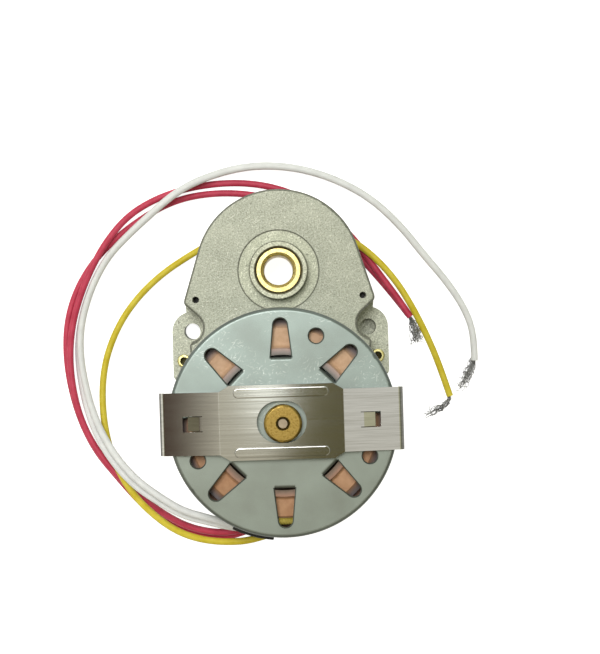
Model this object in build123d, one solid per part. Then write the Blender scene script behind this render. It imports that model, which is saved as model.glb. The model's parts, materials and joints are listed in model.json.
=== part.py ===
from build123d import *
import math
import os

# Reversible synchronous gear motor, lying on its four feet, in millimetres.
# The origin is on the output axis, in the plane of the feet. +X runs along the spring clip,
# +Y from the motor to the output, and +Z from the feet to the motor's rear bearing.

# Stack of heights
foot_height = 5.0
plate_thickness = 3.0
cavity_depth = 10.0
deck_thickness = 2.0
can_depth = 20.0
sheet = 1.0

# Gear case
motor_offset = 40.0
crown_r = 22.7
crown_y = -0.5
case_wall = 2.0
case_draft = 2.0
case_edge_r = 0.8
shoulder_x = 23.5
shoulder_y = -7.9
shoulder_r = 2.5
lobe_x = 22.4
lobe_y = -21.6
lobe_r = 2.2
base_r = 29.0
base_clearance = 1.0
notch_x = 25.4
notch_y = -15.0
notch_r = 4.4
notch_flare_x = 29.5
notch_flare_y = -10.2
notch_flare_r = 3.6
notch_corner_r = 0.9
spot_r = 11.05
spot_depth = 0.4
boss_r = 7.9
boss_height = 4.0
boss_mouth = 0.6
pin_hole_x = 22.8
pin_hole_y = -7.4
pin_hole_r = 0.95
pin_hole_depth = 2.5
low_screw_inset = 4.1
low_screw_angle = -22.4
screw_post_r = 2.4

# Back plate
ear_hole_x = 24.6
ear_hole_y = -16.2
ear_hole_r = 2.25
ear_socket_depth = 4.0
ear_r = 5.6
ear_bottom = -29.9
ear_corner_r = 1.5
plate_edge_r = 0.5
ear_root_x = 17.0
foot_r = 4.0
low_foot_inset = 5.15
low_foot_angle = -57.0
rivet_x = 27.1
rivet_y = -24.4
rivet_barrel_r = 1.5
rivet_bore_r = 1.15
rivet_bore_depth = 2.8
rivet_head_r = 1.9
rivet_head_height = 0.5
tail_boss_r = 9.0
tail_boss_height = 2.5

# Output
sleeve_r = 6.0
sleeve_bore_r = 4.0
sleeve_chamfer = 0.75
sleeve_recess = 0.3
sleeve_foot_gap = 0.5
washer_thickness = 0.4
washer_r = 7.6

# Gear train
pressure_angle = 25.0
backlash = 0.06
pinion_teeth = 12
first_wheel_teeth = 50
second_wheel_teeth = 42
output_teeth = 52
first_module = 0.45
second_module = 0.55
output_module = 0.7
first_arbor_angle = 118.0
arbor_r = 1.0
arbor_depth = 1.2
first_face = 2.0
second_face = 2.0
output_face = 2.2
level_gap = 0.7
wheel_seat_r = 2.0
hub_r = 1.9
output_hub_r = 8.0
shaft_r = 1.25
motor_pinion_length = 3.4

# Motor
can_r = 30.0
can_edge_r = 1.1
slot_count = 8
pole_inset = 12.9
slot_margin = 2.8
slot_root_width = 5.4
slot_tip_width = 3.6
slot_burr = 0.3
sight_hole_r = 1.9
sight_hole_inset = 5.8
sight_hole_angles = (67.5, 202.5, 337.5)
phase_shift = 11.25
finger_gap = 0.6
finger_ledge = 0.3
bobbin_fit = 0.35
bobbin_wall = 0.8
bobbin_collar = 0.85
coil_gap = 2.2
coil_sink = 0.7
coil_shoulder = 2.2
air_gap = 0.7
magnet_wall = 7.4
rear_bush_r = 4.95
rear_bush_height = 2.8
rear_bush_chamfer = 0.5
bush_neck_r = 3.6
bush_neck_depth = 0.9
oil_cup_r = 1.75
oil_cup_depth = 0.6
shaft_proud = 0.1
front_bush_r = 5.2
front_bush_flange = 1.2
front_spigot_r = 4.0
rotor_washer_r = 2.8

# Spring clip
clip_thickness = 0.8
clip_overhang = 1.75
clip_shift_x = -0.3
clip_shift_y = 0.4
clip_rise = 1.5
panel_half_length = 16.1
panel_half_width = 9.7
wing_half_width = 8.15
panel_taper = 2.6
clip_bend_r = 1.1
clip_eye_gap = 0.1
clip_eye_stretch = 2.0
bead_length = 24.8
bead_width = 2.6
bead_height = 0.3
bead_y = 7.7
tab_window_x = 20.5
tab_window_length = 5.2
tab_window_width = 4.1
tab_width = 3.7
tab_length = 3.7
tab_gap = 0.17
tab_thickness = 0.7
leg_length = 29.0
leg_foot_half_width = 6.2
leg_taper_drop = 2.0
lug_half_width = 3.7
lug_height = 3.0
lug_drop = 2.4
lug_inset = 0.25
lug_side_gap = 0.7
lug_top_gap = 0.8

# Lead exit and leads
block_start_angle = -96.0
block_end_angle = -116.5
block_proud = 2.0
block_flare = 1.3
block_height = 9.3
block_overhang = 0.4
lead_r = 0.95
tail_gap = 0.1
tail_back = 1.65
tail_start_angle = -114.0
tail_sweep = 46.0
bare_r = 0.45
bare_straight = 1.6
bare_bend_r = 1.2

# Screws
screw_r = 0.83
screw_head_r = 2.0
screw_head_height = 1.4
screw_slot_width = 0.5
screw_slot_depth = 0.6
screw_grip = 9.0

# Fits, all radial or one-sided
running_fit = 0.03
seat_fit = 0.02
end_play = 0.1
loose_fit = 0.1

# Lead routes, from the exit block to the stripped end
white_1_route = [
    (-10.8, -68.9, 29.0), (-16.0, -67.5, 28.9), (-21.1, -66.3, 27.8), (-27.5, -64.9, 24.5),
    (-34.3, -61.3, 19.5), (-41.5, -56.6, 13.5), (-47.8, -49.5, 8.2), (-52.5, -41.0, 5.6),
    (-55.4, -31.3, 3.9), (-56.9, -21.4, 3.1), (-56.2, -12.4, 3.1), (-53.0, -2.8, 3.2),
    (-48.2, 5.5, 4.0), (-42.0, 11.5, 5.0), (-36.0, 16.6, 5.8), (-30.3, 21.4, 6.0),
    (-24.2, 25.2, 5.4), (-16.8, 28.0, 3.9), (-8.0, 29.9, 3.1), (1.3, 29.8, 3.1),
    (10.6, 27.9, 3.1), (19.6, 24.2, 3.1), (27.5, 19.2, 3.1), (34.9, 11.8, 3.1),
    (41.2, 3.4, 3.1), (47.6, -4.4, 3.1), (52.5, -12.2, 3.1), (54.9, -19.9, 3.1), (54.7, -26.8, 3.1),
]
white_2_route = [
    (-10.9, -69.1, 26.9), (-16.1, -69.1, 26.7), (-21.2, -68.2, 25.4), (-27.7, -67.0, 21.8),
    (-34.6, -63.8, 16.5), (-42.4, -58.9, 10.6), (-49.6, -50.4, 6.0), (-54.3, -41.1, 3.6),
    (-56.8, -31.4, 1.7), (-57.8, -21.4, 1.0), (-56.6, -12.1, 1.0), (-53.3, -2.5, 1.1),
    (-48.4, 5.8, 1.9), (-42.2, 11.8, 2.9), (-36.1, 17.0, 3.7), (-30.4, 21.8, 3.9),
    (-24.3, 25.6, 3.3), (-16.9, 28.5, 1.7), (-8.1, 30.4, 1.0), (1.3, 30.3, 1.0),
    (10.7, 28.3, 1.0), (19.7, 24.6, 1.0), (27.6, 19.6, 1.0), (35.1, 12.2, 1.0),
    (41.4, 3.8, 1.0), (47.8, -4.1, 1.0), (52.6, -11.9, 1.0), (54.9, -18.8, 1.0), (54.9, -24.5, 1.0),
]
red_1_route = [
    (-9.1, -69.8, 21.4), (-14.6, -71.3, 20.8), (-21.8, -71.6, 17.9), (-28.0, -70.5, 12.8),
    (-34.4, -68.2, 7.4), (-41.1, -64.0, 3.0), (-47.9, -57.8, 1.2), (-53.7, -51.0, 1.0),
    (-57.9, -42.5, 1.0), (-60.4, -32.7, 1.0), (-61.1, -22.5, 1.0), (-60.6, -12.8, 1.0),
    (-58.0, -4.4, 1.0), (-53.5, 3.2, 1.0), (-47.5, 9.6, 1.0), (-40.4, 15.0, 1.0),
    (-33.1, 19.3, 1.0), (-25.7, 21.9, 1.0), (-17.1, 22.9, 1.0), (-8.3, 22.4, 1.0),
    (-0.1, 20.4, 1.0), (7.8, 16.9, 1.0), (14.8, 12.0, 1.0), (20.7, 6.3, 1.0),
    (25.75, 0.6, 1.0), (30.2, -4.8, 1.0), (33.85, -9.5, 1.0), (36.6, -13.3, 1.0),
]
red_2_route = [
    (-10.0, -69.4, 23.6), (-15.4, -71.0, 23.0), (-21.6, -70.8, 20.7), (-27.8, -69.8, 15.8),
    (-34.2, -67.0, 10.3), (-40.9, -62.8, 5.6), (-47.2, -56.4, 3.4), (-52.8, -49.4, 2.9),
    (-56.9, -41.2, 2.9), (-59.2, -32.1, 2.9), (-59.9, -22.2, 2.8), (-58.8, -12.8, 2.6),
    (-56.0, -4.1, 2.6), (-52.3, 3.7, 3.2), (-48.0, 10.6, 3.3), (-42.2, 17.1, 2.4),
    (-34.8, 21.5, 1.4), (-26.2, 24.3, 1.0), (-17.0, 25.6, 1.0), (-8.2, 25.5, 1.0),
    (0.0, 23.9, 1.0), (7.0, 21.0, 1.0), (13.5, 16.9, 1.0), (18.7, 12.0, 1.0),
    (23.0, 7.0, 1.4), (27.5, 1.1, 2.4), (31.6, -4.7, 2.75), (34.9, -10.0, 3.05), (36.9, -13.9, 3.05),
]
yellow_route = [
    (-3.9, -70.8, 25.3), (-8.9, -72.4, 25.2), (-14.9, -72.9, 24.7), (-22.2, -72.6, 22.2),
    (-29.6, -70.8, 17.9), (-36.6, -66.6, 12.9), (-43.1, -60.7, 8.0), (-47.6, -53.2, 4.9),
    (-50.3, -44.6, 2.5), (-51.2, -35.6, 1.3), (-50.6, -26.8, 1.0), (-48.4, -19.2, 1.0),
    (-44.6, -11.7, 1.0), (-39.3, -5.1, 1.0), (-32.8, 0.6, 1.0), (-25.6, 5.1, 1.1),
    (-18.1, 9.1, 1.6), (-10.0, 12.2, 2.4), (-1.4, 13.5, 3.1), (7.3, 12.9, 3.2),
    (15.5, 10.9, 3.2), (22.4, 7.4, 3.7), (28.2, 2.3, 4.3), (33.2, -3.8, 4.3),
    (37.2, -10.6, 4.4), (41.1, -18.4, 2.6), (44.9, -27.6, 1.1), (47.7, -36.8, 1.0),
]
# where the twisted strands of each stripped end point to
white_1_tip = (50.6, -33.6, 1.2)
white_2_tip = (52.0, -31.8, 0.6)
red_1_tip = (38.2, -20.8, 0.6)
red_2_tip = (39.2, -20.6, 1.7)
yellow_tip = (41.6, -41.6, 0.6)

# Levels worked out from the stack
plate_z = foot_height
cavity_z = plate_z + plate_thickness
lid_z = cavity_z + cavity_depth
deck_z = lid_z + deck_thickness
boss_z = deck_z + boss_height
can_floor_z = deck_z + sheet
can_top_z = deck_z + can_depth
can_roof_z = can_top_z - sheet
mid_z = (can_floor_z + can_roof_z) / 2
motor_at = (0, -motor_offset)

# Radii worked out from the can, and the half length of the clip that goes over it and beside the case
can_inner_r = can_r - sheet
slot_tip_r = can_r - slot_margin
slot_inner_r = can_r - pole_inset
magnet_r = slot_inner_r - sheet - air_gap
magnet_bore_r = magnet_r - magnet_wall
sight_hole_at = can_r - sight_hole_inset
coil_r = can_inner_r - coil_gap
clip_half_length = max(can_r, base_r + base_clearance) + clip_overhang


# Round bars and rings standing on a level
def bar(r, z0, z1, at=(0, 0)):
    return Pos(at[0], at[1], z0) * Cylinder(r, z1 - z0, align=(Align.CENTER, Align.CENTER, Align.MIN))


def ring(r, bore, z0, z1, at=(0, 0)):
    return bar(r, z0, z1, at) - bar(bore, z0, z1, at)


def block(x0, x1, y0, y1, z0, z1):
    corner = (Align.MIN, Align.MIN, Align.MIN)
    return Pos(x0, y0, z0) * Box(x1 - x0, y1 - y0, z1 - z0, align=corner)


def slab(sketch, z0, z1):
    return extrude(Pos(0, 0, z0) * sketch, z1 - z0)


# Disc whose seam faces the middle of the part
def disc(x, y, r):
    return Pos(x, y) * Rot(0, 0, 90 if y < 0 else -90) * Circle(r)


# Belt stretched round circles (x, y, r) that are given counter-clockwise
def belt(*circles):
    normals = []
    for a, b in zip(circles, circles[1:] + circles[:1]):
        heading = math.atan2(b[1] - a[1], b[0] - a[0])
        distance = math.hypot(b[0] - a[0], b[1] - a[1])
        normals.append(heading - math.acos((a[2] - b[2]) / distance))
    line = []
    for (x, y, r), arrive, leave in zip(circles, normals[-1:] + normals[:-1], normals):
        turn = (leave - arrive) % (2 * math.pi)
        ways = (arrive, arrive + turn / 2, arrive + turn)
        line.append([(x + r * math.cos(way), y + r * math.sin(way)) for way in ways])
    edges = Curve()
    for here, after in zip(line, line[1:] + line[:1]):
        edges += ThreePointArc(*here)
        edges += Line(here[-1], after[0])
    return make_face(edges)


# The same circles on the other side of the middle, still counter-clockwise
def mirrored(*circles):
    return [(-x, y, r) for x, y, r in reversed(circles)]


# Spur gear: involute flanks on the pressure angle, thinned by the backlash, a tooth on +X turned by phase
def gear(teeth, module, z0, z1, at, phase):
    pitch = teeth * module / 2
    base = pitch * math.cos(math.radians(pressure_angle))
    root = pitch - 1.25 * module
    tip = pitch + module

    def half_tooth(r):
        roll = math.acos(min(1.0, base / r))
        pitch_roll = math.radians(pressure_angle)
        involute = math.tan(pitch_roll) - pitch_roll - math.tan(roll) + roll
        return (math.pi * module / 2 - backlash) / (2 * pitch) + involute

    flank = [root, max(base, root * 1.01), (max(base, root) + pitch) / 2, pitch, (pitch + tip) / 2, tip]
    points = []
    for tooth in range(teeth):
        middle = math.radians(phase) + 2 * math.pi * tooth / teeth
        for r in flank:
            turn = middle - half_tooth(max(r, base))
            points.append((r * math.cos(turn), r * math.sin(turn)))
        for r in reversed(flank):
            turn = middle + half_tooth(max(r, base))
            points.append((r * math.cos(turn), r * math.sin(turn)))
    profile = Polyline(*points, close=True)
    return Pos(at[0], at[1], 0) * slab(make_face(profile), z0, z1)


# Direction of one axis seen from another, and the phase that puts a gap there
def bearing(a, b):
    return math.degrees(math.atan2(b[1] - a[1], b[0] - a[0]))


def gap_phase(here, driver, teeth):
    return bearing(here, driver) + 180.0 / teeth


def centre_distance(wheel_teeth, module):
    return (pinion_teeth + wheel_teeth) * module / 2


# Axes of the train: the first arbor stands off the motor, the second meshes with it and the output
first_distance = centre_distance(first_wheel_teeth, first_module)
second_distance = centre_distance(second_wheel_teeth, second_module)
output_distance = centre_distance(output_teeth, output_module)
first_turn = math.radians(first_arbor_angle)
first_at = (first_distance * math.cos(first_turn), -motor_offset + first_distance * math.sin(first_turn))
span = math.hypot(*first_at)
along = (second_distance**2 - output_distance**2 + span**2) / (2 * span)
across = math.sqrt(second_distance**2 - along**2)
to_output = (-first_at[0] / span, -first_at[1] / span)
second_at = (
    first_at[0] + along * to_output[0] + across * to_output[1],
    first_at[1] + along * to_output[1] - across * to_output[0],
)

# Levels of the three meshes inside the case
output_gear_z = cavity_z + level_gap
second_gear_z = output_gear_z + output_face + level_gap
first_gear_z = second_gear_z + second_face + level_gap


# Crown round the output, shoulders, lobes and the round base under the motor
def casting_outline():
    right = [(lobe_x, lobe_y, lobe_r), (shoulder_x, shoulder_y, shoulder_r)]
    return belt((0, crown_y, crown_r), *mirrored(*right), *right) + disc(*motor_at, base_r)


# The case has a notch round each ear hole, with its sharp corners rounded
def case_outline():
    right = [(notch_x, notch_y, notch_r), (notch_flare_x, notch_flare_y, notch_flare_r)]
    casting = casting_outline()
    notches = [belt(*right), belt(*mirrored(*right))]
    outline = casting - notches
    smooth = [v.center() for shape in (casting, *notches) for v in shape.vertices()]
    corners = [v for v in outline.vertices() if min((v.center() - at).length for at in smooth) > seat_fit]
    return fillet(corners, notch_corner_r)


# Two places inside the round base, one on each side, given by an angle about the motor axis
def base_places(inset, angle):
    turn = math.radians(angle)
    x = (base_r - inset) * math.cos(turn)
    y = (base_r - inset) * math.sin(turn) - motor_offset
    return [(-x, y), (x, y)]


screw_places = [(side * pin_hole_x, pin_hole_y) for side in (-1, 1)]
screw_places += base_places(low_screw_inset, low_screw_angle)
foot_places = [(side * ear_hole_x, ear_hole_y) for side in (-1, 1)]
foot_places += base_places(low_foot_inset, low_foot_angle)
lug_top_z = deck_z - lug_drop
lug_low_z = lug_top_z - lug_height


def make_gear_case():
    outline = case_outline()
    shell = extrude(Pos(0, 0, deck_z) * outline, cavity_z - deck_z, taper=-case_draft)
    shell = fillet(shell.faces().sort_by(Axis.Z)[-1].edges(), case_edge_r)
    cavity = slab(offset(outline, -case_wall), cavity_z, lid_z)
    for place in screw_places:
        cavity -= bar(screw_post_r, cavity_z, lid_z, place)
    shell -= cavity
    shell -= ring(spot_r, boss_r, deck_z - spot_depth, deck_z)
    shell += bar(boss_r, lid_z, boss_z)
    shell = fillet(shell.faces().sort_by(Axis.Z)[-1].edges(), boss_mouth / 2)
    bore = sleeve_r + running_fit
    shell -= bar(bore, lid_z, boss_z)
    shell -= Pos(0, 0, boss_z - boss_mouth / 2) * Cone(bore, bore + boss_mouth, boss_mouth)
    shell -= bar(front_spigot_r + seat_fit, lid_z, deck_z, motor_at)
    for at in (first_at, second_at):
        shell -= bar(arbor_r + seat_fit, lid_z, lid_z + arbor_depth, at)
    for place in screw_places:
        shell -= bar(screw_r, cavity_z, deck_z, place)
        shell -= bar(pin_hole_r, deck_z - pin_hole_depth, deck_z, place)
    for side in (-1, 1):
        inner = side * (base_r - case_wall)
        outer = side * (clip_half_length - lug_inset)
        low = -motor_offset - lug_half_width
        high = -motor_offset + lug_half_width
        shell += block(min(inner, outer), max(inner, outer), low, high, lug_low_z, lug_top_z)
    return shell


def make_back_plate():
    corner_x = ear_hole_x + ear_r - ear_corner_r
    corner = (corner_x, ear_bottom + ear_corner_r, ear_corner_r)
    root = (ear_root_x, ear_bottom + ear_r, ear_r)
    right = [root, corner, (ear_hole_x, ear_hole_y, ear_r)]
    flare = (deck_z - cavity_z) * math.tan(math.radians(case_draft))
    outline = offset(casting_outline(), flare) + belt(*right) + belt(*mirrored(*right))
    plate = slab(outline, plate_z, cavity_z)
    plate = fillet(plate.faces().sort_by(Axis.Z)[0].edges(), plate_edge_r)
    for place in foot_places:
        plate += bar(foot_r, 0, plate_z, place)
    for side in (-1, 1):
        plate -= bar(rivet_barrel_r + seat_fit, plate_z, cavity_z, (side * rivet_x, rivet_y))
    plate += bar(tail_boss_r, plate_z - tail_boss_height, plate_z)
    plate -= bar(sleeve_r + running_fit, 0, cavity_z)
    plate -= bar(ear_hole_r, 0, cavity_z, (-ear_hole_x, ear_hole_y))
    plate -= bar(ear_hole_r, cavity_z - ear_socket_depth, cavity_z, (ear_hole_x, ear_hole_y))
    for at in (first_at, second_at):
        plate -= bar(arbor_r + seat_fit, cavity_z - arbor_depth, cavity_z, at)
    for place in screw_places:
        plate -= bar(screw_r + loose_fit, plate_z, cavity_z, place)
    return plate


def make_output_sleeve():
    low = sleeve_foot_gap
    high = boss_z - sleeve_recess
    tube = ring(sleeve_r, sleeve_bore_r, low, high)
    rims = tube.faces().sort_by(Axis.Z)[-1].edges()
    return chamfer(rims.sort_by(SortBy.RADIUS)[0], sleeve_chamfer)


def make_output_gear():
    low = cavity_z + washer_thickness + end_play
    high = lid_z - washer_thickness - end_play
    phase = gap_phase((0, 0), second_at, output_teeth)
    wheel = gear(output_teeth, output_module, output_gear_z, output_gear_z + output_face, (0, 0), phase)
    wheel += bar(output_hub_r, low, high)
    return wheel - bar(sleeve_r + seat_fit, low, high)


def make_output_washers():
    low = ring(washer_r, sleeve_r + running_fit, cavity_z, cavity_z + washer_thickness)
    high = ring(washer_r, sleeve_r + running_fit, lid_z - washer_thickness, lid_z)
    return Compound(children=[low, high])


def make_arbors():
    low = cavity_z - arbor_depth + seat_fit
    high = lid_z + arbor_depth - seat_fit
    return Compound(children=[bar(arbor_r, low, high, at) for at in (first_at, second_at)])


def make_first_wheel():
    phase = gap_phase(first_at, motor_at, first_wheel_teeth)
    wheel = gear(first_wheel_teeth, first_module, first_gear_z, first_gear_z + first_face, first_at, phase)
    return wheel - bar(wheel_seat_r, first_gear_z, first_gear_z + first_face, first_at)


# A pinion has its teeth under its wheel, a seat through the wheel and plain hubs to the case walls
def make_pinion(module, at, driven_at, teeth_z, wheel_z, wheel_face):
    low = cavity_z + end_play
    high = lid_z - end_play
    piece = gear(pinion_teeth, module, teeth_z, wheel_z, at, bearing(at, driven_at))
    piece += bar(hub_r, low, teeth_z, at)
    piece += bar(wheel_seat_r, wheel_z, wheel_z + wheel_face, at)
    piece += bar(hub_r, wheel_z + wheel_face, high, at)
    return piece - bar(arbor_r + running_fit, low, high, at)


def make_first_pinion():
    teeth_z = second_gear_z - level_gap / 2
    return make_pinion(second_module, first_at, second_at, teeth_z, first_gear_z, first_face)


def make_second_wheel():
    phase = gap_phase(second_at, first_at, second_wheel_teeth)
    high = second_gear_z + second_face
    wheel = gear(second_wheel_teeth, second_module, second_gear_z, high, second_at, phase)
    return wheel - bar(wheel_seat_r, second_gear_z, high, second_at)


def make_second_pinion():
    teeth_z = output_gear_z - level_gap / 2
    return make_pinion(output_module, second_at, (0, 0), teeth_z, second_gear_z, second_face)


# The rotor turns on the motor axis, with its pinion under the deck
shaft_low_z = first_gear_z - level_gap
shaft_top_z = can_top_z + rear_bush_height + shaft_proud
rear_neck_z = can_roof_z - bush_neck_depth
front_flange_z = can_floor_z + front_bush_flange
hub_low_z = front_flange_z + washer_thickness + 2 * end_play
hub_high_z = rear_neck_z - washer_thickness - 2 * end_play


def make_motor_pinion():
    low = shaft_low_z
    high = low + motor_pinion_length
    teeth = gear(pinion_teeth, first_module, low, high, motor_at, bearing(motor_at, first_at))
    return teeth - bar(shaft_r, low, high, motor_at)


def make_rotor_shaft():
    shaft = bar(shaft_r, shaft_low_z, shaft_top_z, motor_at)
    return chamfer(shaft.faces().sort_by(Axis.Z)[-1].edges(), shaft_proud)


def make_rotor_hub():
    return ring(magnet_bore_r, shaft_r, hub_low_z, hub_high_z, motor_at)


def make_rotor_magnet():
    return ring(magnet_r, magnet_bore_r, hub_low_z + end_play, hub_high_z - end_play, motor_at)


def make_rotor_washers():
    bore = shaft_r + running_fit
    low = ring(rotor_washer_r, bore, front_flange_z, front_flange_z + washer_thickness, motor_at)
    high = ring(rotor_washer_r, bore, rear_neck_z - washer_thickness, rear_neck_z, motor_at)
    return Compound(children=[low, high])


def make_rear_bush():
    head = bar(rear_bush_r, can_top_z, can_top_z + rear_bush_height, motor_at)
    head = chamfer(head.faces().sort_by(Axis.Z)[-1].edges(), rear_bush_chamfer)
    bush = head + bar(bush_neck_r, rear_neck_z, can_top_z, motor_at)
    top = can_top_z + rear_bush_height
    bush -= bar(oil_cup_r, top - oil_cup_depth, top, motor_at)
    return bush - bar(shaft_r + running_fit, rear_neck_z, top, motor_at)


def make_front_bush():
    bush = bar(front_bush_r, can_floor_z, front_flange_z, motor_at)
    bush += bar(front_spigot_r, lid_z + end_play, can_floor_z, motor_at)
    return bush - bar(shaft_r + running_fit, lid_z + end_play, front_flange_z, motor_at)


# Tapered pole finger at angle 0, bent from the plate at root_z and reaching to tip_z
def finger(root_z, tip_z):
    inner = slot_inner_r - sheet
    root = slot_root_width / 2
    tip = slot_tip_width / 2
    points = [(inner, -root, root_z), (inner, root, root_z), (inner, tip, tip_z), (inner, -tip, tip_z)]
    return extrude(make_face(Polyline(*points, close=True)), sheet, dir=(1, 0, 0))


def around_motor(piece, count, first_angle):
    turns = [first_angle + 360.0 * i / count for i in range(count)]
    return [Pos(*motor_at) * Rot(0, 0, turn) * piece for turn in turns]


# Slot left in a plate by its bent finger: straight root, tapering sides and a round tip
def slot_outline():
    tip = slot_tip_width / 2
    centre = slot_tip_r - tip
    root = slot_root_width / 2
    sides = Polyline((centre, tip), (slot_inner_r, root), (slot_inner_r, -root), (centre, -tip))
    end = ThreePointArc((centre, -tip), (slot_tip_r, 0), (centre, tip))
    return make_face(sides + end)


# What the bend of a pole finger takes off the square corner at the root of its slot
def root_bend():
    inner = slot_inner_r - sheet
    half = slot_root_width / 2
    corner = block(inner, slot_inner_r, -half, half, can_roof_z, can_top_z)
    return corner - Pos(inner, 0, can_roof_z) * Rot(90, 0, 0) * Cylinder(sheet, slot_root_width)


def make_motor_can():
    can = bar(can_r, can_floor_z, can_top_z, motor_at)
    can = fillet(can.faces().sort_by(Axis.Z)[-1].edges(), can_edge_r)
    can -= bar(can_inner_r, can_floor_z, can_roof_z, motor_at)
    can -= bar(bush_neck_r + seat_fit, can_roof_z, can_top_z, motor_at)
    slot = slab(slot_outline(), can_roof_z, can_top_z)
    slot += extrude(Pos(0, 0, can_top_z - slot_burr) * slot_outline(), slot_burr, taper=-45)
    slot += root_bend()
    for hole in around_motor(slot, slot_count, 0):
        can -= hole
    for angle in sight_hole_angles:
        turn = math.radians(angle)
        at = (sight_hole_at * math.cos(turn), sight_hole_at * math.sin(turn) - motor_offset)
        can -= bar(sight_hole_r, can_roof_z, can_top_z, at)
        rim = Cone(sight_hole_r, sight_hole_r + slot_burr, slot_burr)
        can -= Pos(*at, can_top_z - slot_burr / 2) * rim
    for piece in around_motor(finger(can_roof_z, mid_z + sheet + finger_gap), slot_count, 0):
        can += piece
    return can - block_space()


def make_mount_plate():
    plate = bar(can_r, deck_z, can_floor_z, motor_at)
    plate -= bar(front_spigot_r + seat_fit, deck_z, can_floor_z, motor_at)
    for hole in around_motor(slab(slot_outline(), deck_z, can_floor_z), slot_count, phase_shift):
        plate -= hole
    for piece in around_motor(finger(can_floor_z, mid_z - sheet - finger_gap), slot_count, phase_shift):
        plate += piece
    return plate


# Ring plate in the middle of the can, with fingers between those of the plate it faces
def make_pole_plate(face_z, tip_z, first_angle):
    low = min(mid_z, face_z)
    inner = slot_inner_r - sheet - finger_ledge
    plate = ring(can_inner_r - loose_fit, inner, low, low + sheet, motor_at)
    for piece in around_motor(finger(face_z, tip_z), slot_count, first_angle):
        plate += piece
    return plate


half_pitch = 180.0 / slot_count


def make_upper_poles():
    return make_pole_plate(mid_z + sheet, can_roof_z - finger_gap, half_pitch)


def make_lower_poles():
    return make_pole_plate(mid_z - sheet, can_floor_z + finger_gap, half_pitch + phase_shift)


# Spool with a full flange on the middle plate and a short collar at its other end
finger_corner_r = math.hypot(slot_inner_r, slot_root_width / 2)
spool_bore_r = finger_corner_r + bobbin_fit
spool_r = spool_bore_r + bobbin_wall


def make_bobbin(flange_z, collar_z):
    inward = math.copysign(bobbin_wall, collar_z - flange_z)
    flange = sorted((flange_z, flange_z + inward))
    collar = sorted((collar_z, collar_z - inward))
    low = min(flange[0], collar[0])
    high = max(flange[1], collar[1])
    spool = bar(spool_r, low, high, motor_at)
    spool += bar(can_inner_r - 2 * loose_fit, *flange, motor_at)
    spool += bar(spool_r + bobbin_collar, *collar, motor_at)
    return spool - bar(spool_bore_r, low, high, motor_at)


upper_flange_z = mid_z + sheet + loose_fit
upper_collar_z = can_roof_z - loose_fit
lower_flange_z = mid_z - sheet - loose_fit
lower_collar_z = can_floor_z + loose_fit


# Taped winding between the flange and the collar of its spool, with a sloping shoulder on the collar's side
def make_coil(flange_z, collar_z):
    inward = math.copysign(bobbin_wall, collar_z - flange_z)
    ends = sorted((flange_z + inward, collar_z - inward - math.copysign(coil_sink, inward)))
    coil = ring(coil_r, spool_r + seat_fit, ends[0], ends[1], motor_at)
    face = coil.faces().sort_by(Axis.Z)[-1 if inward > 0 else 0]
    return chamfer(face.edges().sort_by(SortBy.RADIUS)[-1], coil_shoulder)


# Sector of a ring about the motor axis between two angles
def sector(inner, outer, z0, z1, start, end):
    reach = outer / math.cos(math.radians((start - end) / 2))
    turns = [math.radians(a) for a in (start, (start + end) / 2, end)]
    far = [(reach * math.cos(t), reach * math.sin(t)) for t in turns]
    wedge = Pos(*motor_at) * make_face(Polyline((0, 0), *far, close=True))
    return ring(outer, inner, z0, z1, motor_at) & slab(wedge, z0, z1)


block_top_z = can_floor_z + block_height
block_low_z = deck_z - block_overhang
block_outer_r = can_r + block_proud


def block_space():
    slack = math.degrees(loose_fit / can_r)
    angles = (block_start_angle + slack, block_end_angle - slack)
    return sector(can_inner_r - sheet, can_r + sheet, can_floor_z, block_top_z + loose_fit, *angles)


def make_lead_block():
    angles = (block_start_angle, block_end_angle)
    height = block_top_z - block_low_z
    cover = sector(can_r + loose_fit, block_outer_r + block_flare, block_low_z, block_top_z, *angles)
    middle = Pos(*motor_at, block_low_z + height / 2)
    cover &= middle * Cone(block_outer_r + block_flare, block_outer_r, height)
    plug = sector(can_inner_r, can_r + 2 * loose_fit, can_floor_z + loose_fit, block_top_z, *angles)
    return cover + plug


# End of the yellow lead that lies round the shoulder of the upper coil
tail_lift = (lead_r + tail_gap) / math.sqrt(2)
tail_at = coil_r - tail_back + tail_lift


def make_coil_tail():
    z = upper_collar_z - bobbin_wall - coil_sink - (coil_shoulder - tail_back) + tail_lift
    start = math.radians(tail_start_angle)
    at = Vector(tail_at * math.cos(start), tail_at * math.sin(start) - motor_offset, z)
    heading = Vector(-math.sin(start), math.cos(start), 0)
    path = Pos(0, -motor_offset, z) * CenterArc((0, 0), tail_at, tail_start_angle, tail_sweep)
    return sweep(Plane(at, z_dir=heading) * Circle(lead_r), path)


# Bent strip with lanced tabs, two beads and a leg at each end that hooks over a lug of the case
panel_z = can_top_z + clip_rise
strip_z = panel_z + clip_thickness / 2
leg_x = clip_half_length - clip_thickness / 2
touch_x = can_r - can_edge_r
wing_slope = (clip_rise - end_play) / (touch_x - panel_half_length)
corner_z = strip_z - wing_slope * (leg_x - panel_half_length)
leg_low_z = corner_z - leg_length
clip_at = (clip_shift_x, clip_shift_y - motor_offset)


# Extrusion across the strip of a sketch drawn along it, half as wide each way
def across_strip(sketch, half_width):
    return Pos(*clip_at, 0) * extrude(Plane.XZ * sketch, half_width, both=True)


# Box given from the middle of the strip
def clip_block(xs, half_width, z0, z1):
    return Pos(*clip_at, 0) * block(*sorted(xs), -half_width, half_width, z0, z1)


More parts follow.
